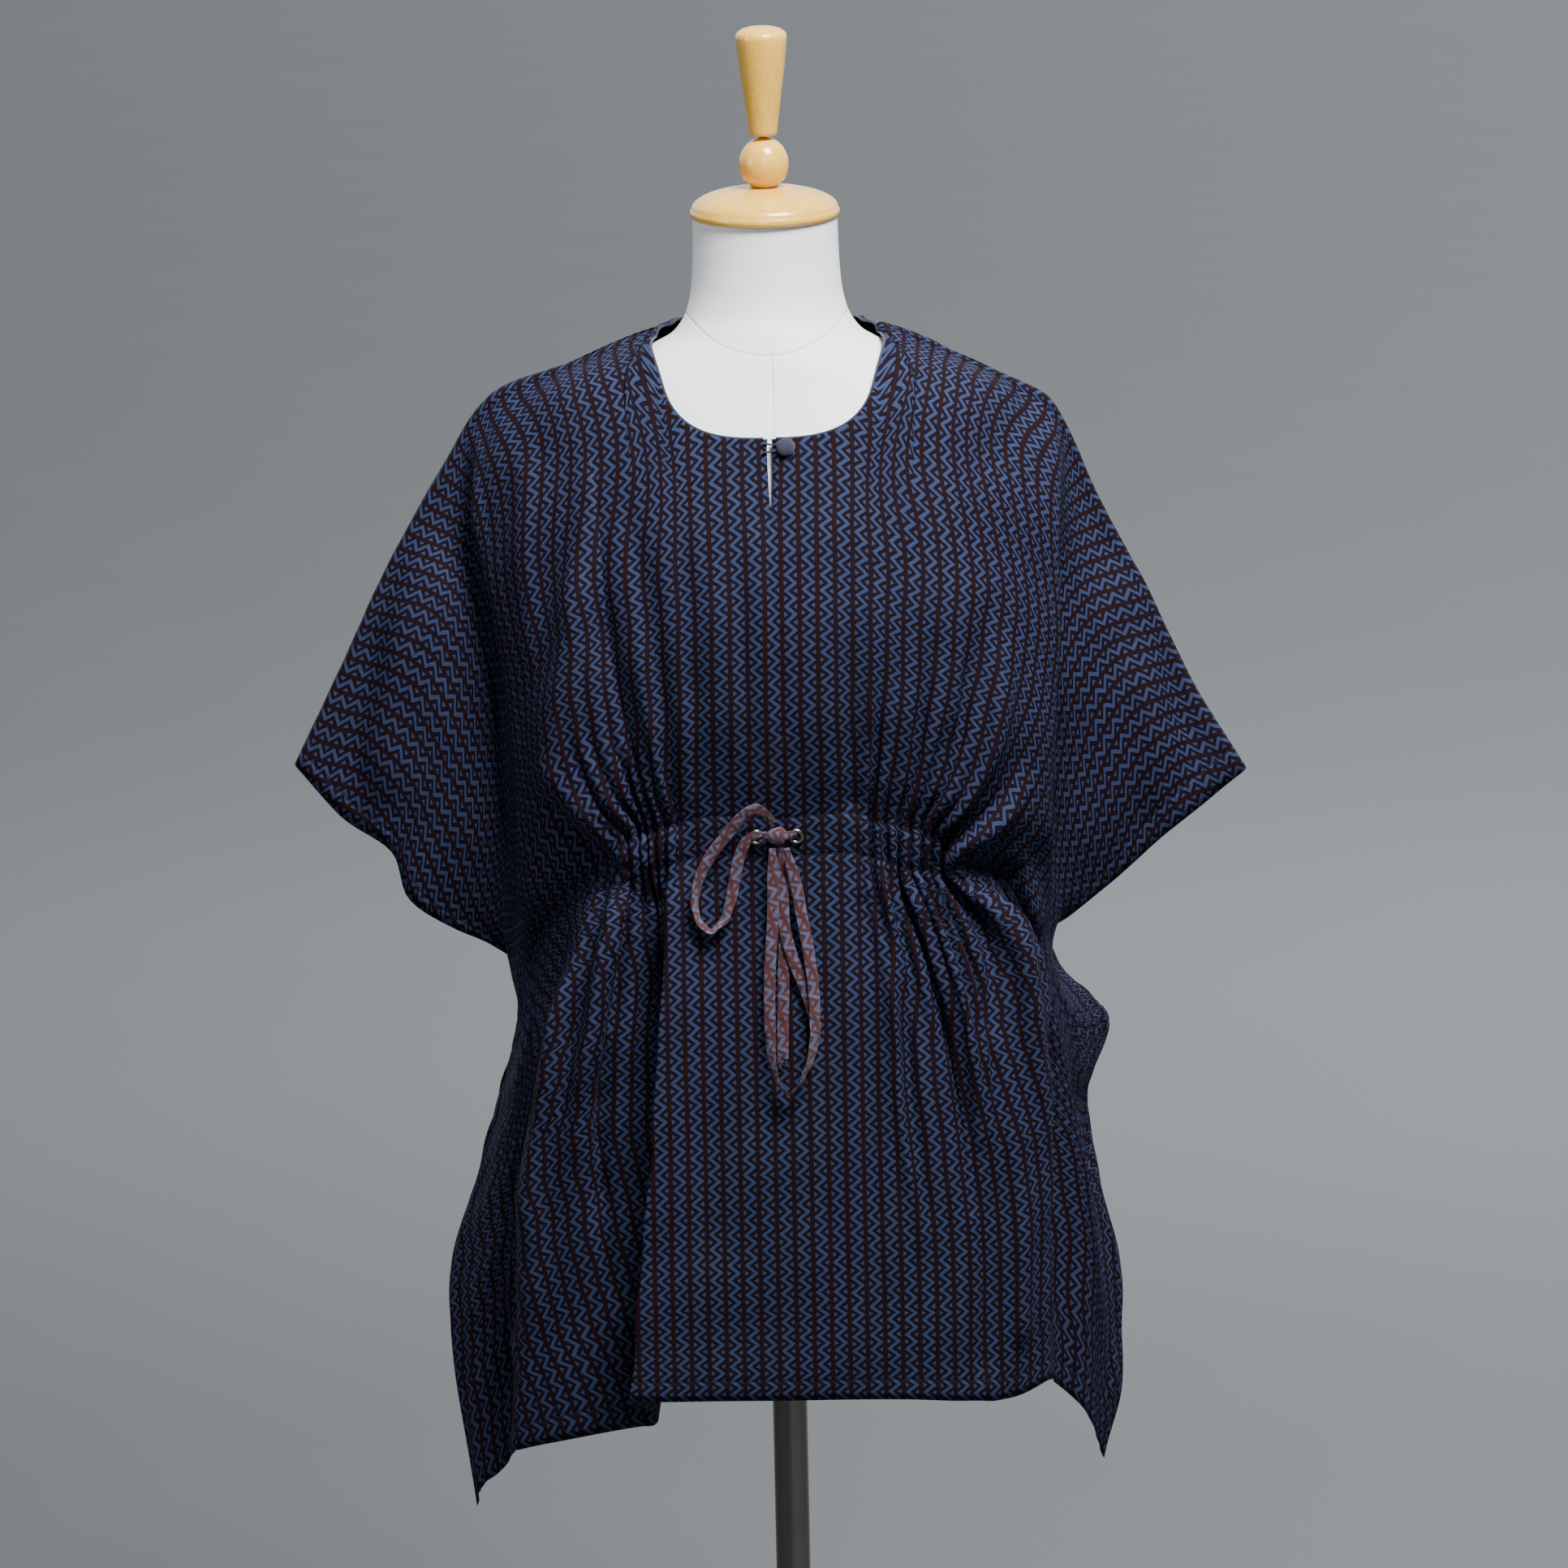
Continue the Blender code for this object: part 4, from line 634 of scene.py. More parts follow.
# Creases on the front, by the first and last line that they may move. Each: half width, then its
# route as x, height and how far the ridge stands out or the trough goes in
FRONT_CREASES = {
    ("centre", "right_bust"): [(9, (48, 1262, -0.6), (51, 1190, -2.0), (51, 1092, -2.2))],
    ("right_placket", "right_bust"): [(8, (78, 1182, -0.6), (67, 1110, -2.2), (62, 1082, -2.0)),
        (6.5, (72, 1043, 1.4), (77, 971, 3.4), (81, 877, 2.8), (94, 784, 1.2)), (7, (84, 1030, -1.4),
        (88, 948, -3.6), (87, 876, -2.4), (98, 800, -0.6))],
    ("right_placket", "right_crest"): [(9, (112, 1200, -0.8), (93, 1127, -3.0), (82, 1080, -2.4))],
    ("right_neck", "right_crest"): [(10, (148, 1222, -1.2), (128, 1149, -3.4), (107, 1099, -3.6),
        (95, 1074, -2.4)), (11, (158, 1190, 1.2), (146, 1124, 3.6), (122, 1080, 3.0)),
        (7, (170, 1120, -0.8), (150, 1083, -3.0), (116, 1059, -2.4)), (7, (176, 1098, 1.0),
        (152, 1071, 3.2), (120, 1053, 2.0)), (8, (82, 1036, -1.4), (100, 990, -3.8), (111, 947, -4.0),
        (122, 899, -3.0), (129, 807, -1.0)), (8, (96, 1031, 1.6), (114, 981, 3.8), (127, 932, 3.8),
        (138, 854, 1.6)), (8, (111, 1043, -1.6), (133, 1011, -3.8), (143, 987, -4.0), (149, 930, -1.6))],
    ("left_crest", "left_return"): [(15, (-125, 1309, 1.2), (-138, 1200, 4.2), (-148, 1154, 4.0),
        (-154, 1107, 2.6)), (8, (-155, 1119, 1.6), (-126, 1076, 3.4), (-108, 1055, 2.0)),
        (7, (-160, 1092, -1.0), (-132, 1060, -2.6), (-110, 1046, -1.4)), (7, (-118, 1033, -1.2),
        (-134, 984, -3.2), (-145, 936, -3.4), (-153, 878, -1.4))],
    ("left_bust", "left_knife"): [(11, (-119, 1292, -0.8), (-118, 1225, -3.4), (-103, 1146, -3.8),
        (-94, 1073, -2.6)), (9, (-95, 1037, -1.4), (-108, 983, -4.6), (-121, 925, -5.0),
        (-128, 853, -4.0), (-122, 739, -1.6))],
    ("left_return", "left_placket"): [(9, (-94, 1288, -0.6), (-84, 1226, -2.8), (-75, 1147, -3.2),
        (-72, 1078, -2.2))],
    ("left_knife", "centre"): [(9, (-62, 1292, -0.4), (-57, 1225, -2.2), (-55, 1158, -2.4),
        (-56, 1110, -1.2))],
    ("left_placket", "right_placket"): [(8, (-25, 1275, -0.4), (-21, 1202, -2.2), (-17, 1140, -1.2)),
        (4.5, (1, 1290, -1.2), (2, 1235, -1.8), (4, 1146, -1.4)), (5, (14, 1262, -0.3), (17, 1226, -1.1),
        (18, 1180, -0.3))],
    ("left_valley", "left_bust"): [(10, (-168, 1318, 1.4), (-169, 1251, 2.6), (-166, 1190, 0.8)),
        (8, (-155, 1013, 1.4), (-170, 985, 2.8), (-183, 955, 1.2)), (10, (-178, 860, 1.2),
        (-178, 774, 4.4), (-182, 711, 4.2), (-191, 659, 2.6), (-198, 621, 1.2))],
    ("left_sleeve_inner", "left_crest"): [(8, (-201, 1330, 1.4), (-199, 1279, 2.6), (-194, 1240, 1)),
        (8, (-200, 840, 1.2), (-202, 777, 3.6), (-200, 735, 3.2), (-188, 690, 1.4)),
        (9, (-214, 790, -1.4), (-208, 720, -3.6), (-206, 655, -2.6))],
    ("left_edge", "left_valley"): [(14, (-246, 1270, 0.8), (-262, 1180, 2.6), (-276, 1095, 1.6))],
    ("left_edge", "left_sleeve_inner"): [(12, (-284, 1190, -0.8), (-296, 1120, -2.2),
        (-300, 1070, -1.0))],
    ("right_valley", "right_edge"): [(13, (244, 1240, 1.0), (262, 1160, 2.8), (268, 1070, 1.4))],
    ("right_sleeve_inner", "right_edge"): [(11, (274, 1180, -0.8), (292, 1110, -2.4), (296, 1060, -1.0))],
    ("left_crest", "left_knife"): [(8, (-109, 1040, 1.6), (-119, 1002, 4.0), (-130, 945, 4.6),
        (-141, 890, 3.4), (-146, 850, 1.2)), (8, (-133, 1025, 1.4), (-148, 991, 3.6), (-159, 934, 3.8),
        (-170, 876, 2.6), (-178, 826, 1.0))],
    ("centre", "right_neck"): [(9, (59, 1019, -1.2), (61, 930, -2.4), (60, 760, -0.8)),
        (14, (30, 960, -0.4), (34, 860, -1.4), (36, 760, -0.6))],
    ("right_bust", "right_valley"): [(8, (122, 1045, 1.2), (146, 1024, 3.0), (163, 1000, 3.6),
        (171, 950, 2.4), (178, 880, 1.0))],
    ("right_crest", "right_sleeve_inner"): [(8, (170, 1040, 1.4), (177, 1009, 3.2), (188, 955, 3.6),
        (199, 899, 2.6))],
    ("left_placket", "centre"): [(14, (-46, 980, -0.4), (-52, 880, -1.4), (-56, 780, -0.6))],
    ("right_bust", "right_crest"): [(10, (158, 900, 0.6), (164, 800, 2.2), (162, 710, 2.6))],
    ("right_neck", "right_bust"): [(12, (140, 860, -0.4), (142, 770, -1.8), (140, 690, -1.6))],
}

# Similar creases on the back, where only the maker's cut and the casing are known
BACK_CREASES = {
    ("left_neck", "back_centre"): [(11, (-52, 1300, -0.6), (-50, 1210, -2.4), (-54, 1100, -2.2))],
    ("back_centre", "right_neck"): [(10, (34, 1280, -0.5), (38, 1190, -2.2), (44, 1100, -1.8)),
        (10, (58, 1030, -1.2), (66, 920, -3.0), (70, 760, -1.4)), (14, (20, 960, 0.5), (22, 840, 1.8),
        (24, 720, 1.2))],
    ("left_blade", "left_neck"): [(12, (-120, 1280, 0.8), (-116, 1180, 3.4), (-100, 1085, 2.4))],
    ("right_neck", "right_blade"): [(12, (124, 1270, 0.8), (118, 1170, 3.2), (102, 1085, 2.4))],
    ("left_crest", "left_neck"): [(10, (-150, 1240, -0.8), (-136, 1150, -3.4), (-112, 1076, -2.6)),
        (9, (-118, 1020, -1.4), (-140, 920, -3.8), (-150, 790, -2.4))],
    ("right_neck", "right_crest"): [(10, (152, 1230, -0.8), (138, 1146, -3.2), (114, 1076, -2.6)),
        (9, (118, 1020, -1.4), (138, 930, -3.8), (150, 790, -2.2))],
    ("left_blade", "back_centre"): [(9, (-84, 1030, 1.2), (-96, 930, 3.4), (-104, 800, 2.2),
        (-106, 690, 1.4)), (9, (-66, 1030, -1.2), (-72, 920, -3.2), (-76, 780, -1.8))],
    ("back_centre", "right_blade"): [(9, (84, 1030, 1.2), (98, 930, 3.2), (108, 800, 2.4),
        (110, 690, 1.4))],
}


def monotone_curve(knots, values, wanted):
    """Cubic curve through the knots that never swings past them: its slopes are harmonic means."""
    knots, values = np.asarray(knots, float), np.asarray(values, float)
    step = np.diff(knots)
    rise = np.diff(values, axis=0) / step[:, None]
    same_way = rise[:-1] * rise[1:] > 0
    safe = np.where(same_way, rise[:-1] + rise[1:], 1.0)
    middle = np.where(same_way, 2 * rise[:-1] * rise[1:] / safe, 0.0)
    slope = np.concatenate([rise[:1], middle, rise[-1:]])
    span = np.clip(np.searchsorted(knots, wanted, side="right") - 1, 0, len(knots) - 2)
    t = ((wanted - knots[span]) / step[span])[:, None]
    width = step[span][:, None]
    return cubic(t, values[span], width * slope[span], values[span + 1], width * slope[span + 1])


def smooth_step(x):
    """Rises smoothly from 0 at 0 to 1 at 1: 3x squared less 2x cubed."""
    x = np.clip(x, 0.0, 1.0)
    return x * x * (3 - 2 * x)


form_table = np.array(FORM_SECTIONS[::-1], float)
form_heights = np.linspace(form_table[0, 0], form_table[-1, 0], 800)
form_sizes = monotone_curve(form_table[:, 0], form_table[:, 1:], form_heights)


def form_section(height):
    """Half width, front depth, back depth and squareness of the form at each height."""
    return np.stack([np.interp(height, form_heights, form_sizes[:, k]) for k in range(4)], axis=-1)


def form_level(points):
    """Superellipse measure: below 0 inside the form, above 0 outside, as a share of its size."""
    x, y, z = np.moveaxis(points, -1, 0)
    half, front, back, power = np.moveaxis(form_section(z), -1, 0)
    depth = np.where(y < 0, front, back)
    return ((np.abs(x) / half) ** power + (np.abs(y) / depth) ** power + 1e-9) ** (1 / power) - 1


def form_slope(points, reach=0.5):
    """How form_level changes along x, y and z, by differences; it points out of the form."""
    return np.stack([
        (form_level(points + reach * axis) - form_level(points - reach * axis)) / (2 * reach)
        for axis in np.eye(3)], axis=-1)


def clear_of_form(points, gap, softness=5.0):
    """Pushes points that are inside or too near the form out along the form's own normal."""
    points = points.copy()
    for _ in range(3):
        level = form_level(points)
        slope = form_slope(points)
        size = np.linalg.norm(slope, axis=-1) + 1e-6
        distance = level / size
        target = 0.5 * (distance + gap + np.sqrt((distance - gap) ** 2 + softness**2))
        target = np.where(distance > gap + 3 * softness, distance, target)
        points += ((target - distance) / size)[..., None] * slope
        softness = 0.5
    return points


def form_depth(x, z, side):
    """Depth of the form's surface at a place seen from the front or the back."""
    half, front, back, power = np.moveaxis(form_section(z), -1, 0)
    inside = np.clip(np.abs(x) / half, 0, 1) ** power
    return (front if side < 0 else back) * (1 - inside) ** (1 / power)


def surface_normals(grid, side):
    """Unit normals: the cross product of the steps down and along a grid of columns by rows."""
    normal = np.cross(np.gradient(grid, axis=1), np.gradient(grid, axis=0)) * (-side)
    return normal / (np.linalg.norm(normal, axis=-1, keepdims=True) + 1e-9)


def across_lines(lines, counts, roundness):
    """Columns through the lines: a cubic whose tangents follow the chords on both sides."""
    chord = np.linalg.norm(np.diff(lines[..., :3], axis=0), axis=2)[..., None] + 1e-6
    rise = np.diff(lines, axis=0) / chord
    middle = (chord[1:] * rise[:-1] + chord[:-1] * rise[1:]) / (chord[:-1] + chord[1:])
    tangent = np.concatenate([rise[:1], middle, rise[-1:]]) * roundness[..., None]
    columns = []
    for i, count in enumerate(counts):
        t = (np.arange(count) / count)[:, None, None]
        columns.append(
            cubic(t, lines[i], chord[i] * tangent[i], lines[i + 1], chord[i] * tangent[i + 1]))
    return np.concatenate(columns + [lines[-1:]])


def neckline(left_columns, right_columns, side):
    """Neck edge, left to right, as x, y, z, across, down: a rounded half ellipse on the form."""
    angle = np.linspace(0, math.pi / 2, 400)
    x = NECK_HALF_WIDTH * np.cos(angle) ** NECK_ROUNDNESS
    fall = np.sin(angle) ** NECK_ROUNDNESS
    z = SHOULDER_NECK_Z - (SHOULDER_NECK_Z - NECK_Z[side]) * fall
    if side > 0:
        z += BACK_NECK_RISE * np.sin(2 * angle)
    y = side * (form_depth(x, z, side) + FORM_GAP) * smooth_step(angle / NECK_TURN)
    edge = clear_of_form(np.stack([-x, y, z], axis=1), FORM_GAP, softness=1.0)
    edge = np.concatenate([edge, np.stack([-x, NECK_CUT[side] * fall], axis=1)], axis=1)
    run = run_along(edge[:, :3])
    halves = []
    for columns in (left_columns, right_columns):
        even = np.linspace(0, run[-1], columns + 1)
        half = np.stack([np.interp(even, run, edge[:, k]) for k in range(5)], axis=1)
        half[0, 1] = side * SEAM_GAP / 2
        halves.append(half)
    return np.concatenate([halves[0], halves[1][-2::-1] * [-1, 1, 1, -1, 1]])


def flat_places(lines):
    """Each line's place across the flat cloth: its run along the shoulder from the neck point."""
    places = {"left_placket": -PLACKET_ASIDE, "centre": 0.0, "back_centre": 0.0,
              "right_placket": PLACKET_ASIDE}
    for way, neck in ((-1, ("left_knife", "left_neck")), (1, ("right_neck",))):
        order = lines[::-1] if way < 0 else lines
        place, last = 0.0, None
        for name, table in order:
            shoulder = np.array(table[0][1:], float)
            if name in neck:
                place, last = NECK_HALF_WIDTH, shoulder
            elif last is not None:
                place, last = place + np.linalg.norm(shoulder - last), shoulder
            if last is not None:
                places[name] = way * place
    return [places[name] for name, _ in lines]


def gather(grid, starts, gathers, side):
    """Cosine folds along the casing, each with its own height, dying off up and down the cut."""
    normal = surface_normals(grid[..., :3], side)
    row = int(np.argmin(np.abs(ROW_LEVELS - CASING_DOWN)))
    for first, last, folds in gathers:
        a, b = starts[first], starts[last]
        run = run_along(grid[a:b + 1, row, :3])
        run /= run[-1]
        phase = (run * len(folds) + 0.16 * np.sin(9 * run + 1))[:, None]
        middles = np.arange(len(folds)) + 0.5
        height, up, down = (np.interp(phase, middles, column) for column in np.array(folds).T)
        rows = ROW_LEVELS[None, :] - CASING_DOWN
        strength = GATHER_DEPTH * height * np.exp(-(rows / np.where(rows < 0, up, down)) ** 2)
        edge = smooth_step(np.minimum(phase, len(folds) - phase) / 0.5)
        wave = -np.cos(2 * math.pi * phase) * edge * strength
        grid[a:b + 1, :, :3] += wave[..., None] * normal[a:b + 1]


def press_creases(grid, starts, creases, side):
    """Moves cloth along its normals: across a crease a bell, along it the height given there."""
    normal = surface_normals(grid[..., :3], side)
    push = np.zeros(grid.shape[:2])
    for (first, last), rows in creases.items():
        a, b = starts[first], starts[last]
        column = np.arange(b - a + 1)
        inner = smooth_step(np.minimum(column, b - a - column) / 4 + 0.1)
        for width, *route in rows:
            x, z, height = np.array(route, float).T
            path = smooth_path(np.stack([x, 0 * x, z], axis=1), CREASE_STEPS)
            height = np.interp(np.linspace(0, 1, CREASE_STEPS), np.linspace(0, 1, len(x)), height)
            away = np.linalg.norm(grid[a:b + 1, :, None, [0, 2]] - path[:, [0, 2]], axis=-1)
            bell = np.exp(-(away.min(axis=2) / (CREASE_NARROWING * width)) ** 2)
            push[a:b + 1] += CREASE_DEPTH * height[away.argmin(axis=2)] * bell * inner[:, None]
    grid[..., :3] += push[..., None] * normal


def crumple(grid, side):
    """Small soft unevenness of the cloth: slow sine waves of the flat cut in all ways."""
    across, down = grid[..., 3], grid[..., 4]
    soft = np.zeros(grid.shape[:2])
    for _ in range(CRUMPLE_WAVES):
        way = random.uniform(0, math.pi)
        length = random.uniform(*CRUMPLE_LENGTHS)
        run = across * math.cos(way) + down * math.sin(way)
        soft += CRUMPLE_HEIGHT * np.sin(run * 2 * math.pi / length + random.uniform(0, 6))
    grid[..., :3] += soft[..., None] * surface_normals(grid[..., :3], side)


def casing_seams(grid, side):
    """Two sunk rows of stitches with the channel for the tie standing out between them."""
    down = grid[..., 4]
    sunk = sum(np.exp(-((down - row) / STITCH_REACH) ** 2) for row in CASING_STITCHES)
    channel = smooth_step(1.4 - np.abs(down - CASING_DOWN) / CHANNEL_REACH)
    push = CHANNEL_RISE * channel - STITCH_SINK * sunk
    grid[..., :3] += push[..., None] * surface_normals(grid[..., :3], side)


def edge_turn(grid, side):
    """Rounds the panel over at the shoulder line and at the side seams, up to the other panel."""
    down = np.clip(ROW_LEVELS / EDGE_TURN, 0, 1)
    past_neck = smooth_step((np.abs(grid[:, 0, 0]) - NECK_HALF_WIDTH) / NECK_EASE)
    reach = 1.5 * EDGE_TURN * (0.35 + 0.65 * past_neck)
    over = SEAM_GAP / 2 + reach[:, None] * np.sqrt(1 - (1 - down) ** 2)
    grid[:, :, 1] = side * np.maximum(side * grid[:, :, 1], over)
    seam = (ROW_LEVELS >= CUFF_DEPTH) & (ROW_LEVELS <= SIDE_SLIT_START)
    for edge in (0, -1):
        grid[edge, seam, 1] = side * SEAM_GAP / 2


def panel_grid(lines, counts, side, gathers, creases):
    """The inner face of a panel: columns by rows of x, y, z, across and down."""
    rows = []
    for (name, table), place in zip(lines, flat_places(lines)):
        table = np.array(table, float)
        squeeze = (EVEN_FROM - table[0, 0]) / EVEN_FROM
        wanted = np.where(ROW_LEVELS < EVEN_FROM, table[0, 0] + ROW_LEVELS * squeeze, ROW_LEVELS)
        line = monotone_curve(table[:, 0], table[:, 1:], wanted)
        rows.append(np.column_stack([line, np.full(len(wanted), place), wanted]))
    above, below = np.array([LINE_ROUNDNESS.get(name, (1, 1)) for name, _ in lines]).T[..., None]
    roundness = above + (below - above) * smooth_step((ROW_LEVELS - CASING_DOWN) / CASING_FADE)
    grid = across_lines(np.array(rows), counts, roundness)
    columns = np.concatenate([[0], np.cumsum(counts)]).tolist()
    starts = dict(zip([name for name, _ in lines], columns))
    first = starts["left_knife" if side < 0 else "left_neck"]
    middle = starts["centre" if side < 0 else "back_centre"]
    last = starts["right_neck"]
    neck_edge = neckline(middle - first, last - middle, side)
    fade = 1 - smooth_step(ROW_LEVELS / NECK_FADE)
    grid[first:last + 1] += (neck_edge - grid[first:last + 1, 0])[:, None] * fade[:, None]
    grid[..., :3] = clear_of_form(grid[..., :3], FORM_GAP)
    press_creases(grid, starts, creases, side)
    gather(grid, starts, gathers, side)
    crumple(grid, side)
    casing_seams(grid, side)
    grid[..., :3] = clear_of_form(grid[..., :3], PRESSED_GAP, softness=1.5)
    edge_turn(grid, side)
    grid[first:last + 1, 0, :3] = neck_edge[:, :3]
    return grid, starts, printed_place(grid, middle)


def printed_place(grid, middle):
    """Place of each corner in the print, which doesn't stretch across the cloth.

    Across is the length of the row from the middle; towards the neck and shoulder, where rows
    follow the neckline, it turns into the line's own place. Down is the place down the cut.
    """
    step = np.linalg.norm(np.diff(grid[..., :3], axis=0), axis=2)
    across = np.concatenate([np.zeros((1, step.shape[1])), np.cumsum(step, axis=0)])
    across -= across[middle]
    share = smooth_step(ROW_LEVELS / PRINT_FADE)
    return np.stack([grid[..., 3] * (1 - share) + across * share, grid[..., 4]], axis=-1)


def back_lines():
    """The back's lines: the front's side lines behind the form, and the back's own middle."""
    turned = [(name, [(down, x, -y, z) for down, x, y, z in table]) for name, table in FRONT_LINES]
    return turned[:5] + BACK_MIDDLE_LINES + turned[-5:]


def split_for_slit(grid, place, middle):
    """Doubles the middle column above the slit's foot, so that the keyhole opens there."""
    count, rows, _ = grid.shape
    doubled = np.insert(grid, middle, grid[middle], axis=0)
    place = np.insert(place, middle, place[middle], axis=0)
    index = np.arange((count + 1) * rows).reshape(count + 1, rows)
    foot = int(np.argmin(np.abs(grid[middle, :, 4] - NECK_CUT[-1] - SLIT_LENGTH)))
    index[middle + 1, foot:] = index[middle, foot:]
    share = np.clip(ROW_LEVELS[:foot] / ROW_LEVELS[foot], 0, 1)
    opening = SLIT_HALF_GAP * np.minimum(1, 0.6 + 3 * share) * np.sqrt(1 - share)
    for column, way in ((middle, -1), (middle + 1, 1)):
        for beside in range(4):
            doubled[column + way * beside, :foot, 0] += way * opening * (1 - beside / 4)
    return doubled, place, index


def add_cloth(name, node, grid, place, index, side, open_column=None):
    """A panel with its thickness added outwards; no faces across the open column."""
    columns = [quads_of(index[i:i + 2]) for i in range(len(index) - 1) if i != open_column]
    used, faces = np.unique(np.concatenate(columns)[:, ::side], return_inverse=True)
    flat = grid.reshape(-1, 5)[used]
    piece = add_piece(name, flat[:, :3], faces.reshape(-1, 4), printed_cotton, "printed_cotton",
                      {"cut": place.reshape(-1, 2)[used], "sewn": flat[:, 3:]}, [node], closed=False)
    wall = piece.modifiers.new("thickness", "SOLIDIFY")
    wall.thickness, wall.offset, wall.use_even_offset = CLOTH_THICK * MM, 1.0, False


printed_cotton, start = new_finish("printed_cotton", Roughness=0.7, Specular_IOR_Level=0.07,
                                   Sheen_Weight=0.003, Sheen_Roughness=0.4)
cut, across, down = flat_cloth(start, 0.9)
motif, stripe = zigzag_print(across, down)
faded = cut.noise(38.0, 3.0) * 0.6 + cut.noise(1.6, 2.0) * 0.4
ground = stripe.colour(NAVY_GROUND, MAROON)
blue = faded.shades(ZIGZAG_BLUE, 0.62, 1.3)
dye = (motif * (0.86 + cut.noise(0.9, 1.0) * 0.28)).colour(ground, blue)
sewn_across, sewn_down, _ = start.node("ShaderNodeUVMap", {"uv_map": "sewn"}).parts()
sewn_across, sewn_down = abs(sewn_across * 1000), sewn_down * 1000
stitch_rows = [abs(sewn_down - row) for row in (*CASING_STITCHES, PANEL_LENGTH - HEM)]
stitch_line = stitch_rows[0].math("MINIMUM", stitch_rows[1]).math("MINIMUM", stitch_rows[2])
stitch_line = stitch_line.math("MINIMUM", abs(sewn_across - (FLAT_HALF_WIDTH - HEM)))
threads = stitch_line.within(0.35, 0.3) * ((across + down) / 2.6).math("FRACT").within(0.72, 0.1)
dye = threads.colour(dye, (0.010, 0.010, 0.028))
height = (weave_height(across, down, 0.42) * 0.35 - stitch_line.within(1.4, 1.6) * 2.2
          + cut.noise(7.0, 3.0) * 1.2)
feed(printed_cotton, Base_Color=dye, height=height, bump_distance=0.22)

front_grid, front_starts, front_place = panel_grid(
    FRONT_LINES, FRONT_COLUMNS, -1, FRONT_GATHERS, FRONT_CREASES)
back_grid, back_starts, back_place = panel_grid(
    back_lines(), BACK_COLUMNS, 1, BACK_GATHERS, BACK_CREASES)
middle = front_starts["centre"]
front_split, front_place, front_index = split_for_slit(front_grid, front_place, middle)
back_index = np.arange(back_grid[..., 0].size).reshape(back_grid.shape[:2])
add_cloth("kaftan_front", "front_panel", front_split, front_place, front_index, -1, middle)
add_cloth("kaftan_back", "back_panel", back_grid, back_place, back_index, 1)

# The neck edge is finished with a narrow rolled strip of the same cloth, cut where it is darkest,
# which runs from one side of the keyhole round the neck to the other.
BINDING_RADIUS = 1.0
BUTTON_NAVY = (0.0085, 0.0105, 0.0300)
dark_cloth, start = new_finish("dark_cotton", Roughness=0.75, Sheen_Weight=0.15)
place = start.on_object()
x, y, z = place.parts()
rubbed = place.noise(2.5, 3.0)
feed(dark_cloth, Base_Color=rubbed.shades(BUTTON_NAVY, 0.7, 1.7),
     height=weave_height((x + y) * 1000, (z - y) * 1000, 0.4), bump_distance=0.12)


def tube(route, hint, radius):
    """A round cord along a route, its section square to the hint direction."""
    along = unit(np.gradient(route, axis=0))
    across = unit(np.cross(along, hint))
    angle = np.arange(12) * 2 * math.pi / 12
    outline = radius * np.stack([np.cos(angle), np.sin(angle)], axis=1)
    ring, faces = swept(route, across, np.cross(across, along), outline)
    return ring.reshape(-1, 3), faces


left, right = front_starts["left_knife"], front_starts["right_neck"]
back_left, back_right = back_starts["left_neck"], back_starts["right_neck"]
DEEP_ROW = 7
# The neck edge and, behind it, the row that it is sewn to: left front, back and right front
edge, deep = (np.concatenate([
    front_grid[left:middle + 1, row, :3][::-1], back_grid[back_left + 1:back_right, row, :3],
    front_grid[middle:right + 1, row, :3][::-1]]) for row in (0, DEEP_ROW))
into_cloth = deep - edge
edge[0, 0] -= 2 * SLIT_HALF_GAP
edge[-1, 0] += 2 * SLIT_HALF_GAP
run = unit(np.gradient(edge, axis=0))
away = unit(np.sum(into_cloth * run, axis=1, keepdims=True) * run - into_cloth)
away = np.stack([np.convolve(np.pad(away[:, k], 4, mode="edge"), np.ones(9) / 9, "valid")
                 for k in range(3)], axis=1)
out = np.cross(run, away)
out *= np.sign(np.sum(out * form_slope(edge), axis=1, keepdims=True))
route = smooth_path(edge + away * 0.9 + out * CLOTH_THICK / 2, 260)
add_piece("neck_roll", *tube(route, [0.02, 0.05, 1.0], BINDING_RADIUS), dark_cloth,
          "printed_cotton", nodes=["neck_binding"])

# The button is a shank button covered in the dark cloth; a thin rouleau loop, caught in the left
# side of the keyhole, passes round its shank. The two eyelets are pressed metal rings.
BUTTON_PLACE = (11.0, 1336.5)
BUTTON_LEAN = math.radians(69)
BUTTON_PROFILE = [
    (0, 5.6), (1.6, 5.5), (3.2, 5.2), (5.0, 4.4), (6.1, 3.5), (6.35, 2.9), (5.9, 2.5), (4.6, 2.4),
    (2.2, 2.4), (2.0, 2.2), (2.0, 0.2), (0, 0)]
LOOP_RADIUS = 0.7
LOOP_BEND = 3.1
LOOP_SWEEP = 125
EYELET_PROFILE = [(2.9, 0.0), (3.05, 0.6), (3.5, 1.1), (4.2, 1.3), (4.9, 1.05), (5.35, 0.5),
                  (5.5, 0.0)]
EYELET_RADIUS = 5.5
DARK_NICKEL = (0.42, 0.39, 0.34)


def leaning(tilt):
    """The axis that leans forward by the tilt, and the direction square to it at the back."""
    sine, cosine = math.sin(tilt), math.cos(tilt)
    return np.array([0, -sine, cosine]), np.array([0, cosine, sine])


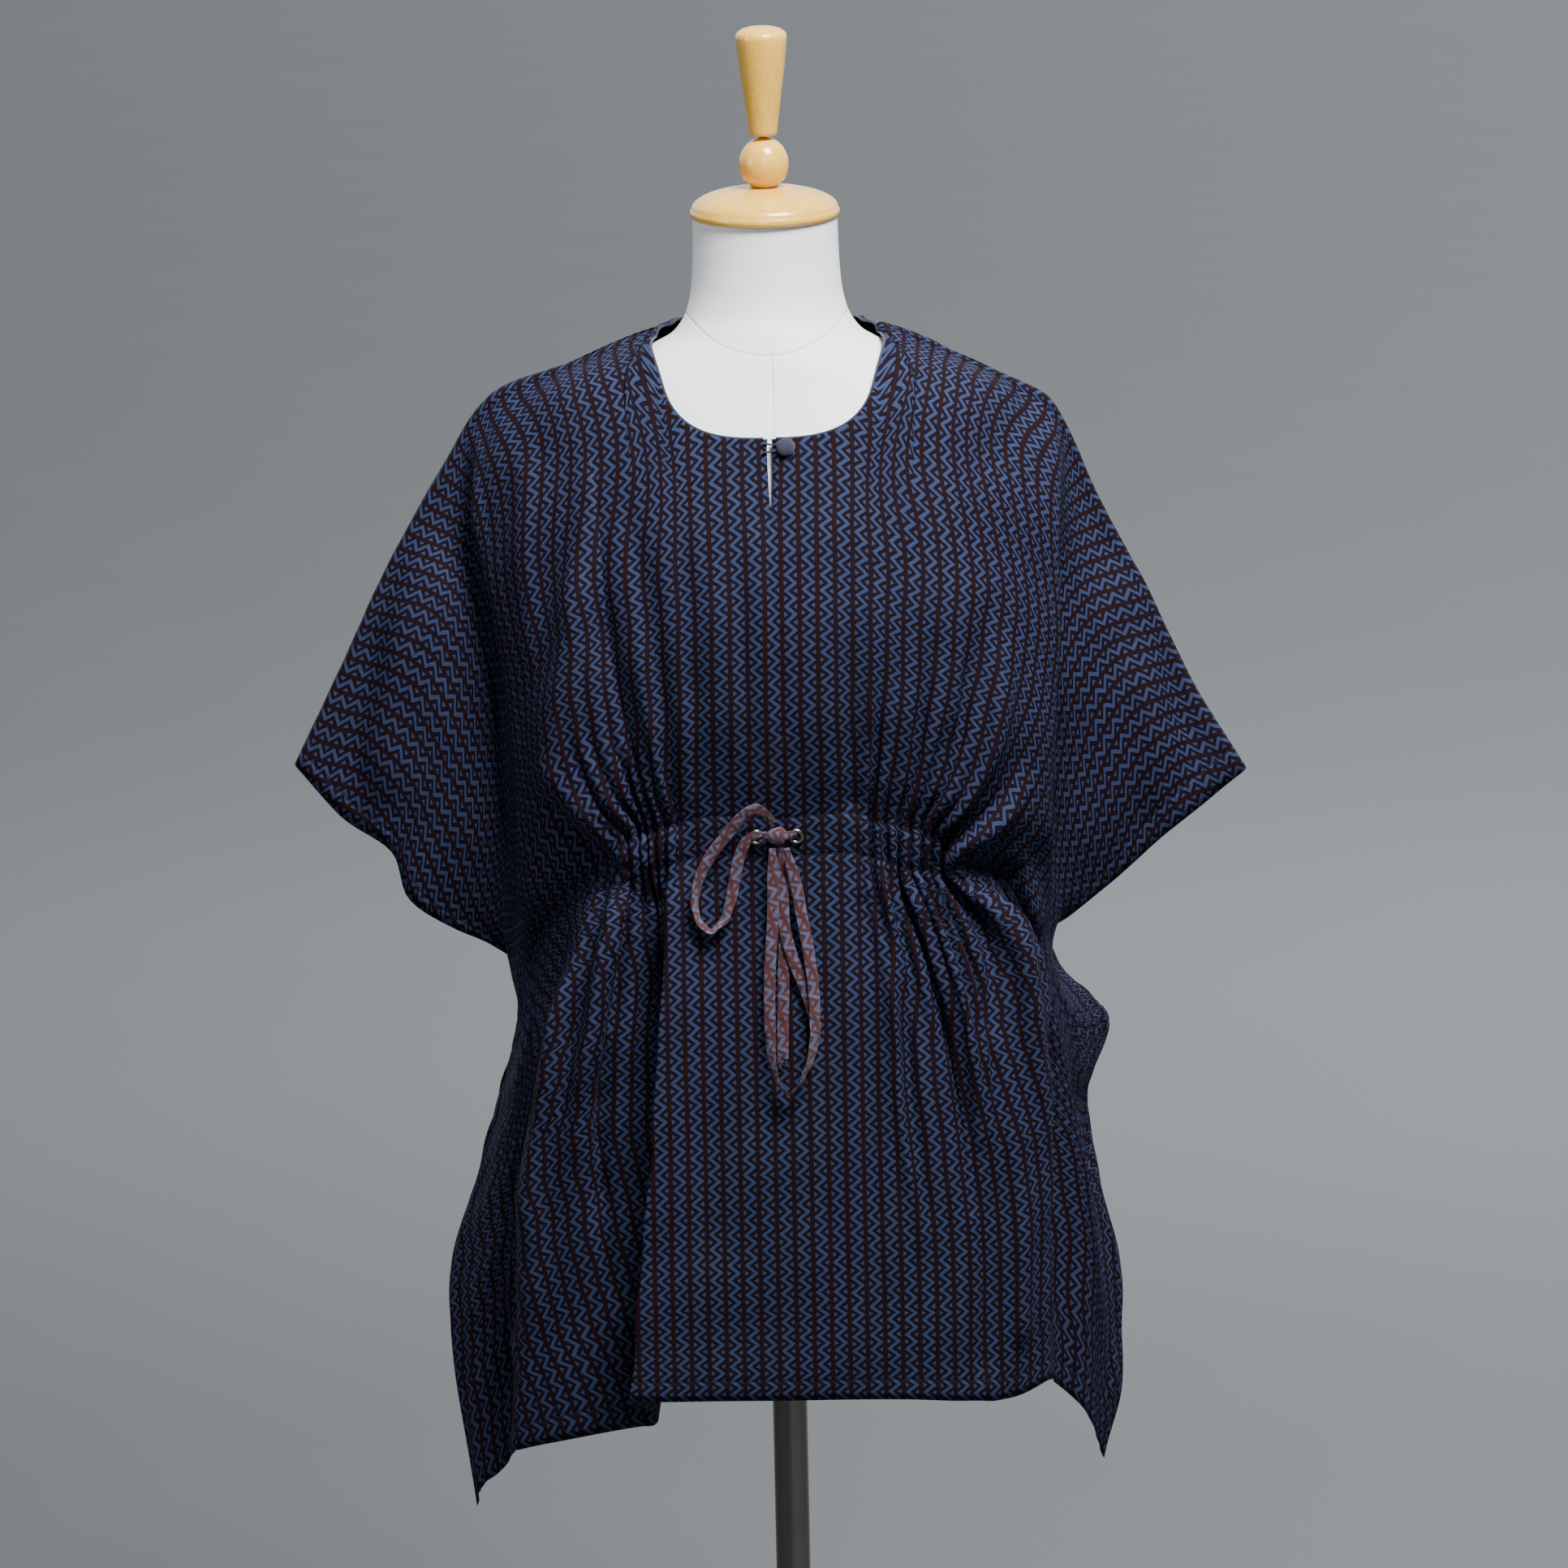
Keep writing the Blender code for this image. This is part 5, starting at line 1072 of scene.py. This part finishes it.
def turned(profile, seat, tilt=0.0, around=96):
    """A profile of (radius, height) turned round an axis that leans forward by the tilt.

    Rows at radius 0 are one corner each. A profile that never meets the axis closes on itself.
    """
    profile = np.asarray(profile, float)
    angle = np.arange(around) * 2 * math.pi / around
    ahead, upward = leaning(tilt)
    spoke = np.cos(angle)[:, None] * np.array([1.0, 0, 0]) + np.sin(angle)[:, None] * upward
    ring = profile[:, None, :1] * spoke + profile[:, None, 1:] * ahead + np.asarray(seat, float)
    index = np.arange(ring[..., 0].size).reshape(ring.shape[:2])
    index = np.concatenate([index, index[:, :1]], axis=1)
    points = ring.reshape(-1, 3)
    if profile[0, 0] > 0:
        return points, quads_of(np.concatenate([index, index[:1]], axis=0)).tolist()
    inner = quads_of(index[1:-1]).tolist()
    top, bottom = index[0, 0], index[-1, 0]
    caps = [(top, a, b) for a, b in zip(index[1, :-1], index[1, 1:])]
    caps += [(bottom, b, a) for a, b in zip(index[-2, :-1], index[-2, 1:])]
    return points, inner + caps


def add_solid(name, shape, finish, slot, node, sharp=50):
    """A closed piece: unused corners dropped, edges kept where sharp."""
    points, faces = shape
    order = sorted({int(corner) for face in faces for corner in face})
    place = {corner: k for k, corner in enumerate(order)}
    faces = [[place[int(corner)] for corner in face] for face in faces]
    piece = add_piece(name, points[order], faces, finish, slot, nodes=[node])
    piece.data.set_sharp_from_angle(angle=math.radians(sharp))


button_x, button_z = BUTTON_PLACE
button_seat = np.array([button_x, cloth_depth(button_x, button_z) - SEAM_GAP, button_z])
add_solid("dome_button", turned(BUTTON_PROFILE, button_seat, BUTTON_LEAN, 64), dark_cloth,
          "covered_button", "button", sharp=70)

ahead, upward = leaning(BUTTON_LEAN)
sweep = np.radians(np.linspace(-LOOP_SWEEP, LOOP_SWEEP, 9))
route = [button_seat + ahead * 1.3
         + LOOP_BEND * (np.cos(a) * np.array([1.0, 0, 0]) + np.sin(a) * upward) for a in sweep]
caught = button_seat + ahead * 1.0 - np.array([button_x + 5.0, 0, 0])
route = smooth_path([caught - 3.4 * upward] + route + [caught + 3.0 * upward], 90)
add_solid("rouleau_loop", tube(route, ahead, LOOP_RADIUS), dark_cloth, "covered_button", "button_loop")

eyelet_metal, start = new_finish("eyelet_metal", Metallic=1.0)
place = start.on_object()
tarnish = place.noise(3.0, 4.0)
feed(eyelet_metal, Roughness=tarnish * 0.25 + 0.16,
     Base_Color=tarnish.shades(DARK_NICKEL, 1.0, 0.55),
     height=place.noise(0.5, 3.0), bump_distance=0.02)
for name, x in (("eyelet_left", EYELETS[0]), ("eyelet_right", EYELETS[1])):
    above, below = (cloth_depth(x, WAIST_Z + EYELET_RADIUS * way) for way in (1, -1))
    beside = sum(cloth_depth(x + EYELET_RADIUS * way, WAIST_Z) for way in (1, -1)) / 2
    face = min(cloth_depth(x, WAIST_Z), (above + below) / 2, beside) - SEAM_GAP
    lean = math.atan2(2 * EYELET_RADIUS, above - below)
    add_solid(name + "_ring", turned(EYELET_PROFILE, (x, face, WAIST_Z), lean, 64), eyelet_metal,
              "eyelet_metal", name)

# The dress form: a padded shell of papier-mache under a tight white cover, sewn round the foot of
# the neck and down the middle of the front and back. Its neck top slopes forward.
FORM_EASE = 0.8
NECK_TOP_Z = 1486
CAP_TILT = math.radians(5)
COVER_WHITE = (0.92, 0.935, 0.95)
SEAM_LOW, SEAM_SPREAD, SEAM_BACK = 1421.0, 17.5, 7.5

heights = np.unique(np.concatenate([np.arange(735, 760, 1.0), np.arange(760, 1340, 8.0),
                                    np.arange(1340, 1486, 2.0), [1486.0]]))
angle = np.arange(144) * 2 * math.pi / 144
half, front, back, power = (form_section(heights)[:, k:k + 1] for k in range(4))
depth = np.where(np.sin(angle) < 0, front - FORM_EASE, back - FORM_EASE)
x = (half - FORM_EASE) * np.sign(np.cos(angle)) * np.abs(np.cos(angle)) ** (2 / power)
y = depth * np.sign(np.sin(angle)) * np.abs(np.sin(angle)) ** (2 / power)
slope = smooth_step((heights[:, None] - 1400) / (NECK_TOP_Z - 1400)) * math.tan(CAP_TILT)
form_rings = np.stack([x, y, heights[:, None] + slope * y], axis=-1)
form_index = np.arange(x.size).reshape(x.shape)
form_index = np.concatenate([form_index, form_index[:, :1]], axis=1)
form_faces = quads_of(form_index).tolist()
form_faces += [form_index[0, :-1].tolist(), form_index[-1, :-1].tolist()]

form_cover, start = new_finish("form_cover", Sheen_Weight=0.1, Coat_Roughness=0.4)
place = start.on_object()
x, y, z = place.parts()
x, y, z = x * 1000, y * 1000, z * 1000
out = (x * x + y * y).math("SQRT")
back_share = y / out
seam_height = SEAM_LOW - back_share * back_share * SEAM_SPREAD + (
    back_share * back_share * back_share * SEAM_BACK)
from_neck_seam = abs(z - seam_height)
from_middle_seam = abs(x - 3.0) + (z - seam_height).math("GREATER_THAN", 0.0) * 50
seam = from_neck_seam.math("MINIMUM", from_middle_seam)
grey = place.noise(60.0, 3.0)
cover_colour = grey.shades(COVER_WHITE, 1.0, 0.93)
cover_colour = (seam.within(0.35, 0.5) * 0.45).colour(cover_colour, (0.33, 0.34, 0.36))
feed(form_cover, Base_Color=cover_colour, Roughness=place.noise(1.2, 2.0) * 0.14 + 0.42,
     height=seam.within(0.9, 1.4) * -1.6 + place.noise(0.9, 3.0) * 0.6
     + weave_height((x + y) * 1.0, z, 0.45) * 0.15, bump_distance=0.2)
add_solid("padded_form", (form_rings.reshape(-1, 3), form_faces), form_cover, "form_cover",
          "form_torso")

# The neck is closed by a turned dome of pale wood with a ball and a tapered handle on it, all
# under clear varnish. The grain runs up the handle and across the dome.
CAP_RADIUS, CAP_HEIGHT, CAP_RIM = 52, 21, 6
BALL_RADIUS, BALL_HEIGHT, BALL_FOOT = 17.2, 35, 9.5
HANDLE_PROFILE = [
    (0, 75), (4, 74.9), (9, 74.3), (13.5, 73), (16.4, 71), (17.5, 69), (17.6, 66.5), (17.1, 60),
    (16.3, 52), (15.1, 42), (13.8, 33), (12.5, 23.5), (11.4, 15), (10.4, 7.5), (10, 3.5),
    (9.8, 1.2), (9.3, 0.3), (8.6, 0), (0, 0)]
GAP = 0.3
WOOD_LIGHT = (0.930, 0.580, 0.085)
WOOD_DARK = (0.600, 0.290, 0.040)


def wood_finish(name, along_z):
    """Pale varnished wood: stretched noise for grain lines, fine pores and faint rings."""
    finish, start = new_finish(name, Coat_Weight=0.6, Coat_Roughness=0.08, IOR=1.48)
    place = start.on_object()
    stretch = (1.0, 1.0, 0.07) if along_z else (0.09, 1.0, 1.0)
    grain = place.node("ShaderNodeMapping", {}, {"Vector": place, "Scale": stretch})
    broad, fine = grain.noise(9.0, 3.0, 0.6), grain.noise(1.3, 4.0, 0.7)
    lines = (broad * 9.0).math("FRACT")
    tone = lines * 0.35 + fine * 0.45 + place.noise(40.0, 2.0) * 0.2
    feed(finish, Base_Color=tone.colour(WOOD_DARK, WOOD_LIGHT), Roughness=fine * 0.12 + 0.24,
         height=fine * 0.5, bump_distance=0.05)
    return finish


dome_wood = wood_finish("dome_wood", along_z=False)
handle_wood = wood_finish("handle_wood", along_z=True)
up, _ = leaning(CAP_TILT)
cap_seat = np.array([0, 0, NECK_TOP_Z]) + GAP * up
bend = np.radians(np.linspace(6, 90, 15))
cap = [(0, CAP_HEIGHT)] + [
    (CAP_RADIUS * math.sin(a) - math.sin(a), CAP_RIM + (CAP_HEIGHT - CAP_RIM) * math.cos(a))
    for a in bend]
cap += [(CAP_RADIUS - 0.3, 5.2), (CAP_RADIUS, 4), (CAP_RADIUS, 2.4), (CAP_RADIUS - 0.5, 1.0),
        (CAP_RADIUS - 1.6, 0.2), (CAP_RADIUS - 2.5, 0), (0, 0)]
add_solid("turned_cap", turned(cap, cap_seat, CAP_TILT, 128), dome_wood, "varnished_wood",
          "neck_cap")
ball_low = CAP_HEIGHT + GAP
ball_middle = BALL_HEIGHT / 2 - 1.5
ball = [(0, BALL_HEIGHT)] + [
    (BALL_RADIUS * math.sin(a), ball_middle + (BALL_HEIGHT - ball_middle) * math.cos(a) - 1)
    for a in np.radians(np.linspace(24, 122, 22))]
ball += [(BALL_FOOT + 2.2, 2.6), (BALL_FOOT + 1, 1.5), (BALL_FOOT + 0.3, 0.5), (BALL_FOOT, 0),
         (0, 0)]
add_solid("turned_ball", turned(ball, cap_seat + ball_low * up, CAP_TILT, 96), dome_wood,
          "varnished_wood", "cap_ball")
handle_low = ball_low + BALL_HEIGHT + GAP
add_solid("turned_handle", turned(HANDLE_PROFILE, cap_seat + handle_low * up, CAP_TILT, 96),
          handle_wood, "varnished_wood", "cap_handle", sharp=70)

# The stand: a polished steel tube that plugs into the torso, held by a collar on a round plate.
POLE_RADIUS, POLE_TOP = 12.5, 735
BASE_RADIUS, BASE_THICK = 170, 8
COLLAR_RADIUS, COLLAR_HEIGHT, COLLAR_FOOT = 24, 38, 6
STEEL = (0.155, 0.145, 0.135)

polished_steel, start = new_finish("polished_steel", Metallic=1.0)
place = start.on_object()
brushed = place.node("ShaderNodeMapping", {}, {"Vector": place, "Scale": (1.0, 1.0, 0.02)})
smear = place.noise(45.0, 3.0)
feed(polished_steel, Roughness=brushed.noise(0.6, 3.0) * 0.05 + smear * 0.05 + 0.03,
     Base_Color=smear.shades(STEEL, 1.0, 0.86),
     height=brushed.noise(0.5, 2.0), bump_distance=0.008)
low = BASE_THICK + GAP
pole = [(0, POLE_TOP - GAP), (POLE_RADIUS - 0.5, POLE_TOP - GAP), (POLE_RADIUS, POLE_TOP - 0.8),
        (POLE_RADIUS, low + 0.5), (POLE_RADIUS - 0.5, low), (0, low)]
add_solid("steel_pole", turned(pole, (0, 0, 0)), polished_steel, "polished_steel", "pole", sharp=30)
inner = POLE_RADIUS + GAP
collar = [(inner, low), (inner, low + COLLAR_HEIGHT - 0.5), (inner + 0.5, low + COLLAR_HEIGHT),
          (COLLAR_RADIUS - COLLAR_FOOT, low + COLLAR_HEIGHT),
          (COLLAR_RADIUS - COLLAR_FOOT + 2.8, low + COLLAR_HEIGHT - 1.2),
          (COLLAR_RADIUS - 2, low + COLLAR_HEIGHT - 4), (COLLAR_RADIUS, low + COLLAR_FOOT),
          (COLLAR_RADIUS + 1.8, low + 2), (COLLAR_RADIUS + COLLAR_FOOT, low)]
add_solid("steel_collar", turned(collar, (0, 0, 0)), polished_steel, "polished_steel",
          "base_collar", sharp=35)
plate = [(0, BASE_THICK), (BASE_RADIUS - 3, BASE_THICK), (BASE_RADIUS - 1, BASE_THICK - 0.7),
         (BASE_RADIUS, BASE_THICK - 2.6), (BASE_RADIUS, 0.6), (BASE_RADIUS - 0.6, 0), (0, 0)]
add_solid("steel_plate", turned(plate, (0, 0, 0), around=160), polished_steel, "polished_steel",
          "base_plate", sharp=35)

# The floor is plain grey with painted shade: its colour is darker to the left and darker near the stand
# and in front of it. A strong soft lamp hangs high in front and to the right, weak ones fill from
# the left and from the front, and the room itself is bright only behind the form.
FLOOR_GREY = (0.80, 0.85, 0.885)
floor_finish, start = new_finish("floor_paint", Roughness=0.9, Specular_IOR_Level=0.2)
place = start.on_object()
aside, away, _ = place.parts()
from_camera = away + CAMERA_DISTANCE
# Painted shade: the floor's base colour is darkened towards the left and near the stand, standing in for
# light falloff
bearing = aside / (aside * aside + from_camera * from_camera).math("SQRT")
painted_shade_near_stand = (1 - away.within(3.2, 3.0) * 0.45) * (1 - away.within(1.8, 3.0) * 0.5)
tone = (1 - bearing.within(0.0, 0.6) * 0.42) * painted_shade_near_stand + (place.noise(900.0, 2.0) - 0.5) * 0.04
feed(floor_finish, Base_Color=tone.colour((0.0, 0.0, 0.0), FLOOR_GREY))
floor_mesh = bpy.data.meshes.new("floor")
floor_mesh.from_pydata([(-60, -60, 0), (60, -60, 0), (60, 60, 0), (-60, 60, 0)], [], [(0, 1, 2, 3)])
floor_mesh.materials.append(floor_finish)
floor = bpy.data.objects.new("floor", floor_mesh)
bpy.context.scene.collection.objects.link(floor)

ROOM_FRONT = 0.05
ROOM_BACK = 1.2
room = bpy.data.worlds.new("room")
room.use_nodes = True
sky = room.node_tree.nodes["Background"]
sky.inputs["Color"].default_value = (0.95, 0.97, 1.0, 1.0)
_, towards_back, _ = Wire(room.node_tree, None).node("ShaderNodeTexCoord").parts()
glow = towards_back.node("ShaderNodeMapRange", {"interpolation_type": "SMOOTHSTEP"}, {
    "Value": towards_back, "From Min": 0.1, "From Max": 0.7,
    "To Min": ROOM_FRONT, "To Max": ROOM_BACK})
room.node_tree.links.new(glow.socket, sky.inputs["Strength"])
bpy.context.scene.world = room
LAMPS = [
    # name, place, width, height, watts
    ("key_softbox", (0.62, -1.1, 3.15), 0.85, 0.85, 172),
    ("fill_softbox", (-2.9, -1.3, 2.0), 1.0, 1.5, 26),
    ("front_softbox", (0.0, -3.8, 2.4), 1.2, 1.2, 14),
]
for name, place, width, tall, watts in LAMPS:
    lamp = bpy.data.lights.new(name, "AREA")
    lamp.shape = "RECTANGLE"
    lamp.size, lamp.size_y, lamp.energy = width, tall, watts
    light = bpy.data.objects.new(name, lamp)
    light.location = place
    light.rotation_euler = (CAMERA_TARGET - Vector(place)).to_track_quat("-Z", "Y").to_euler()
    bpy.context.scene.collection.objects.link(light)
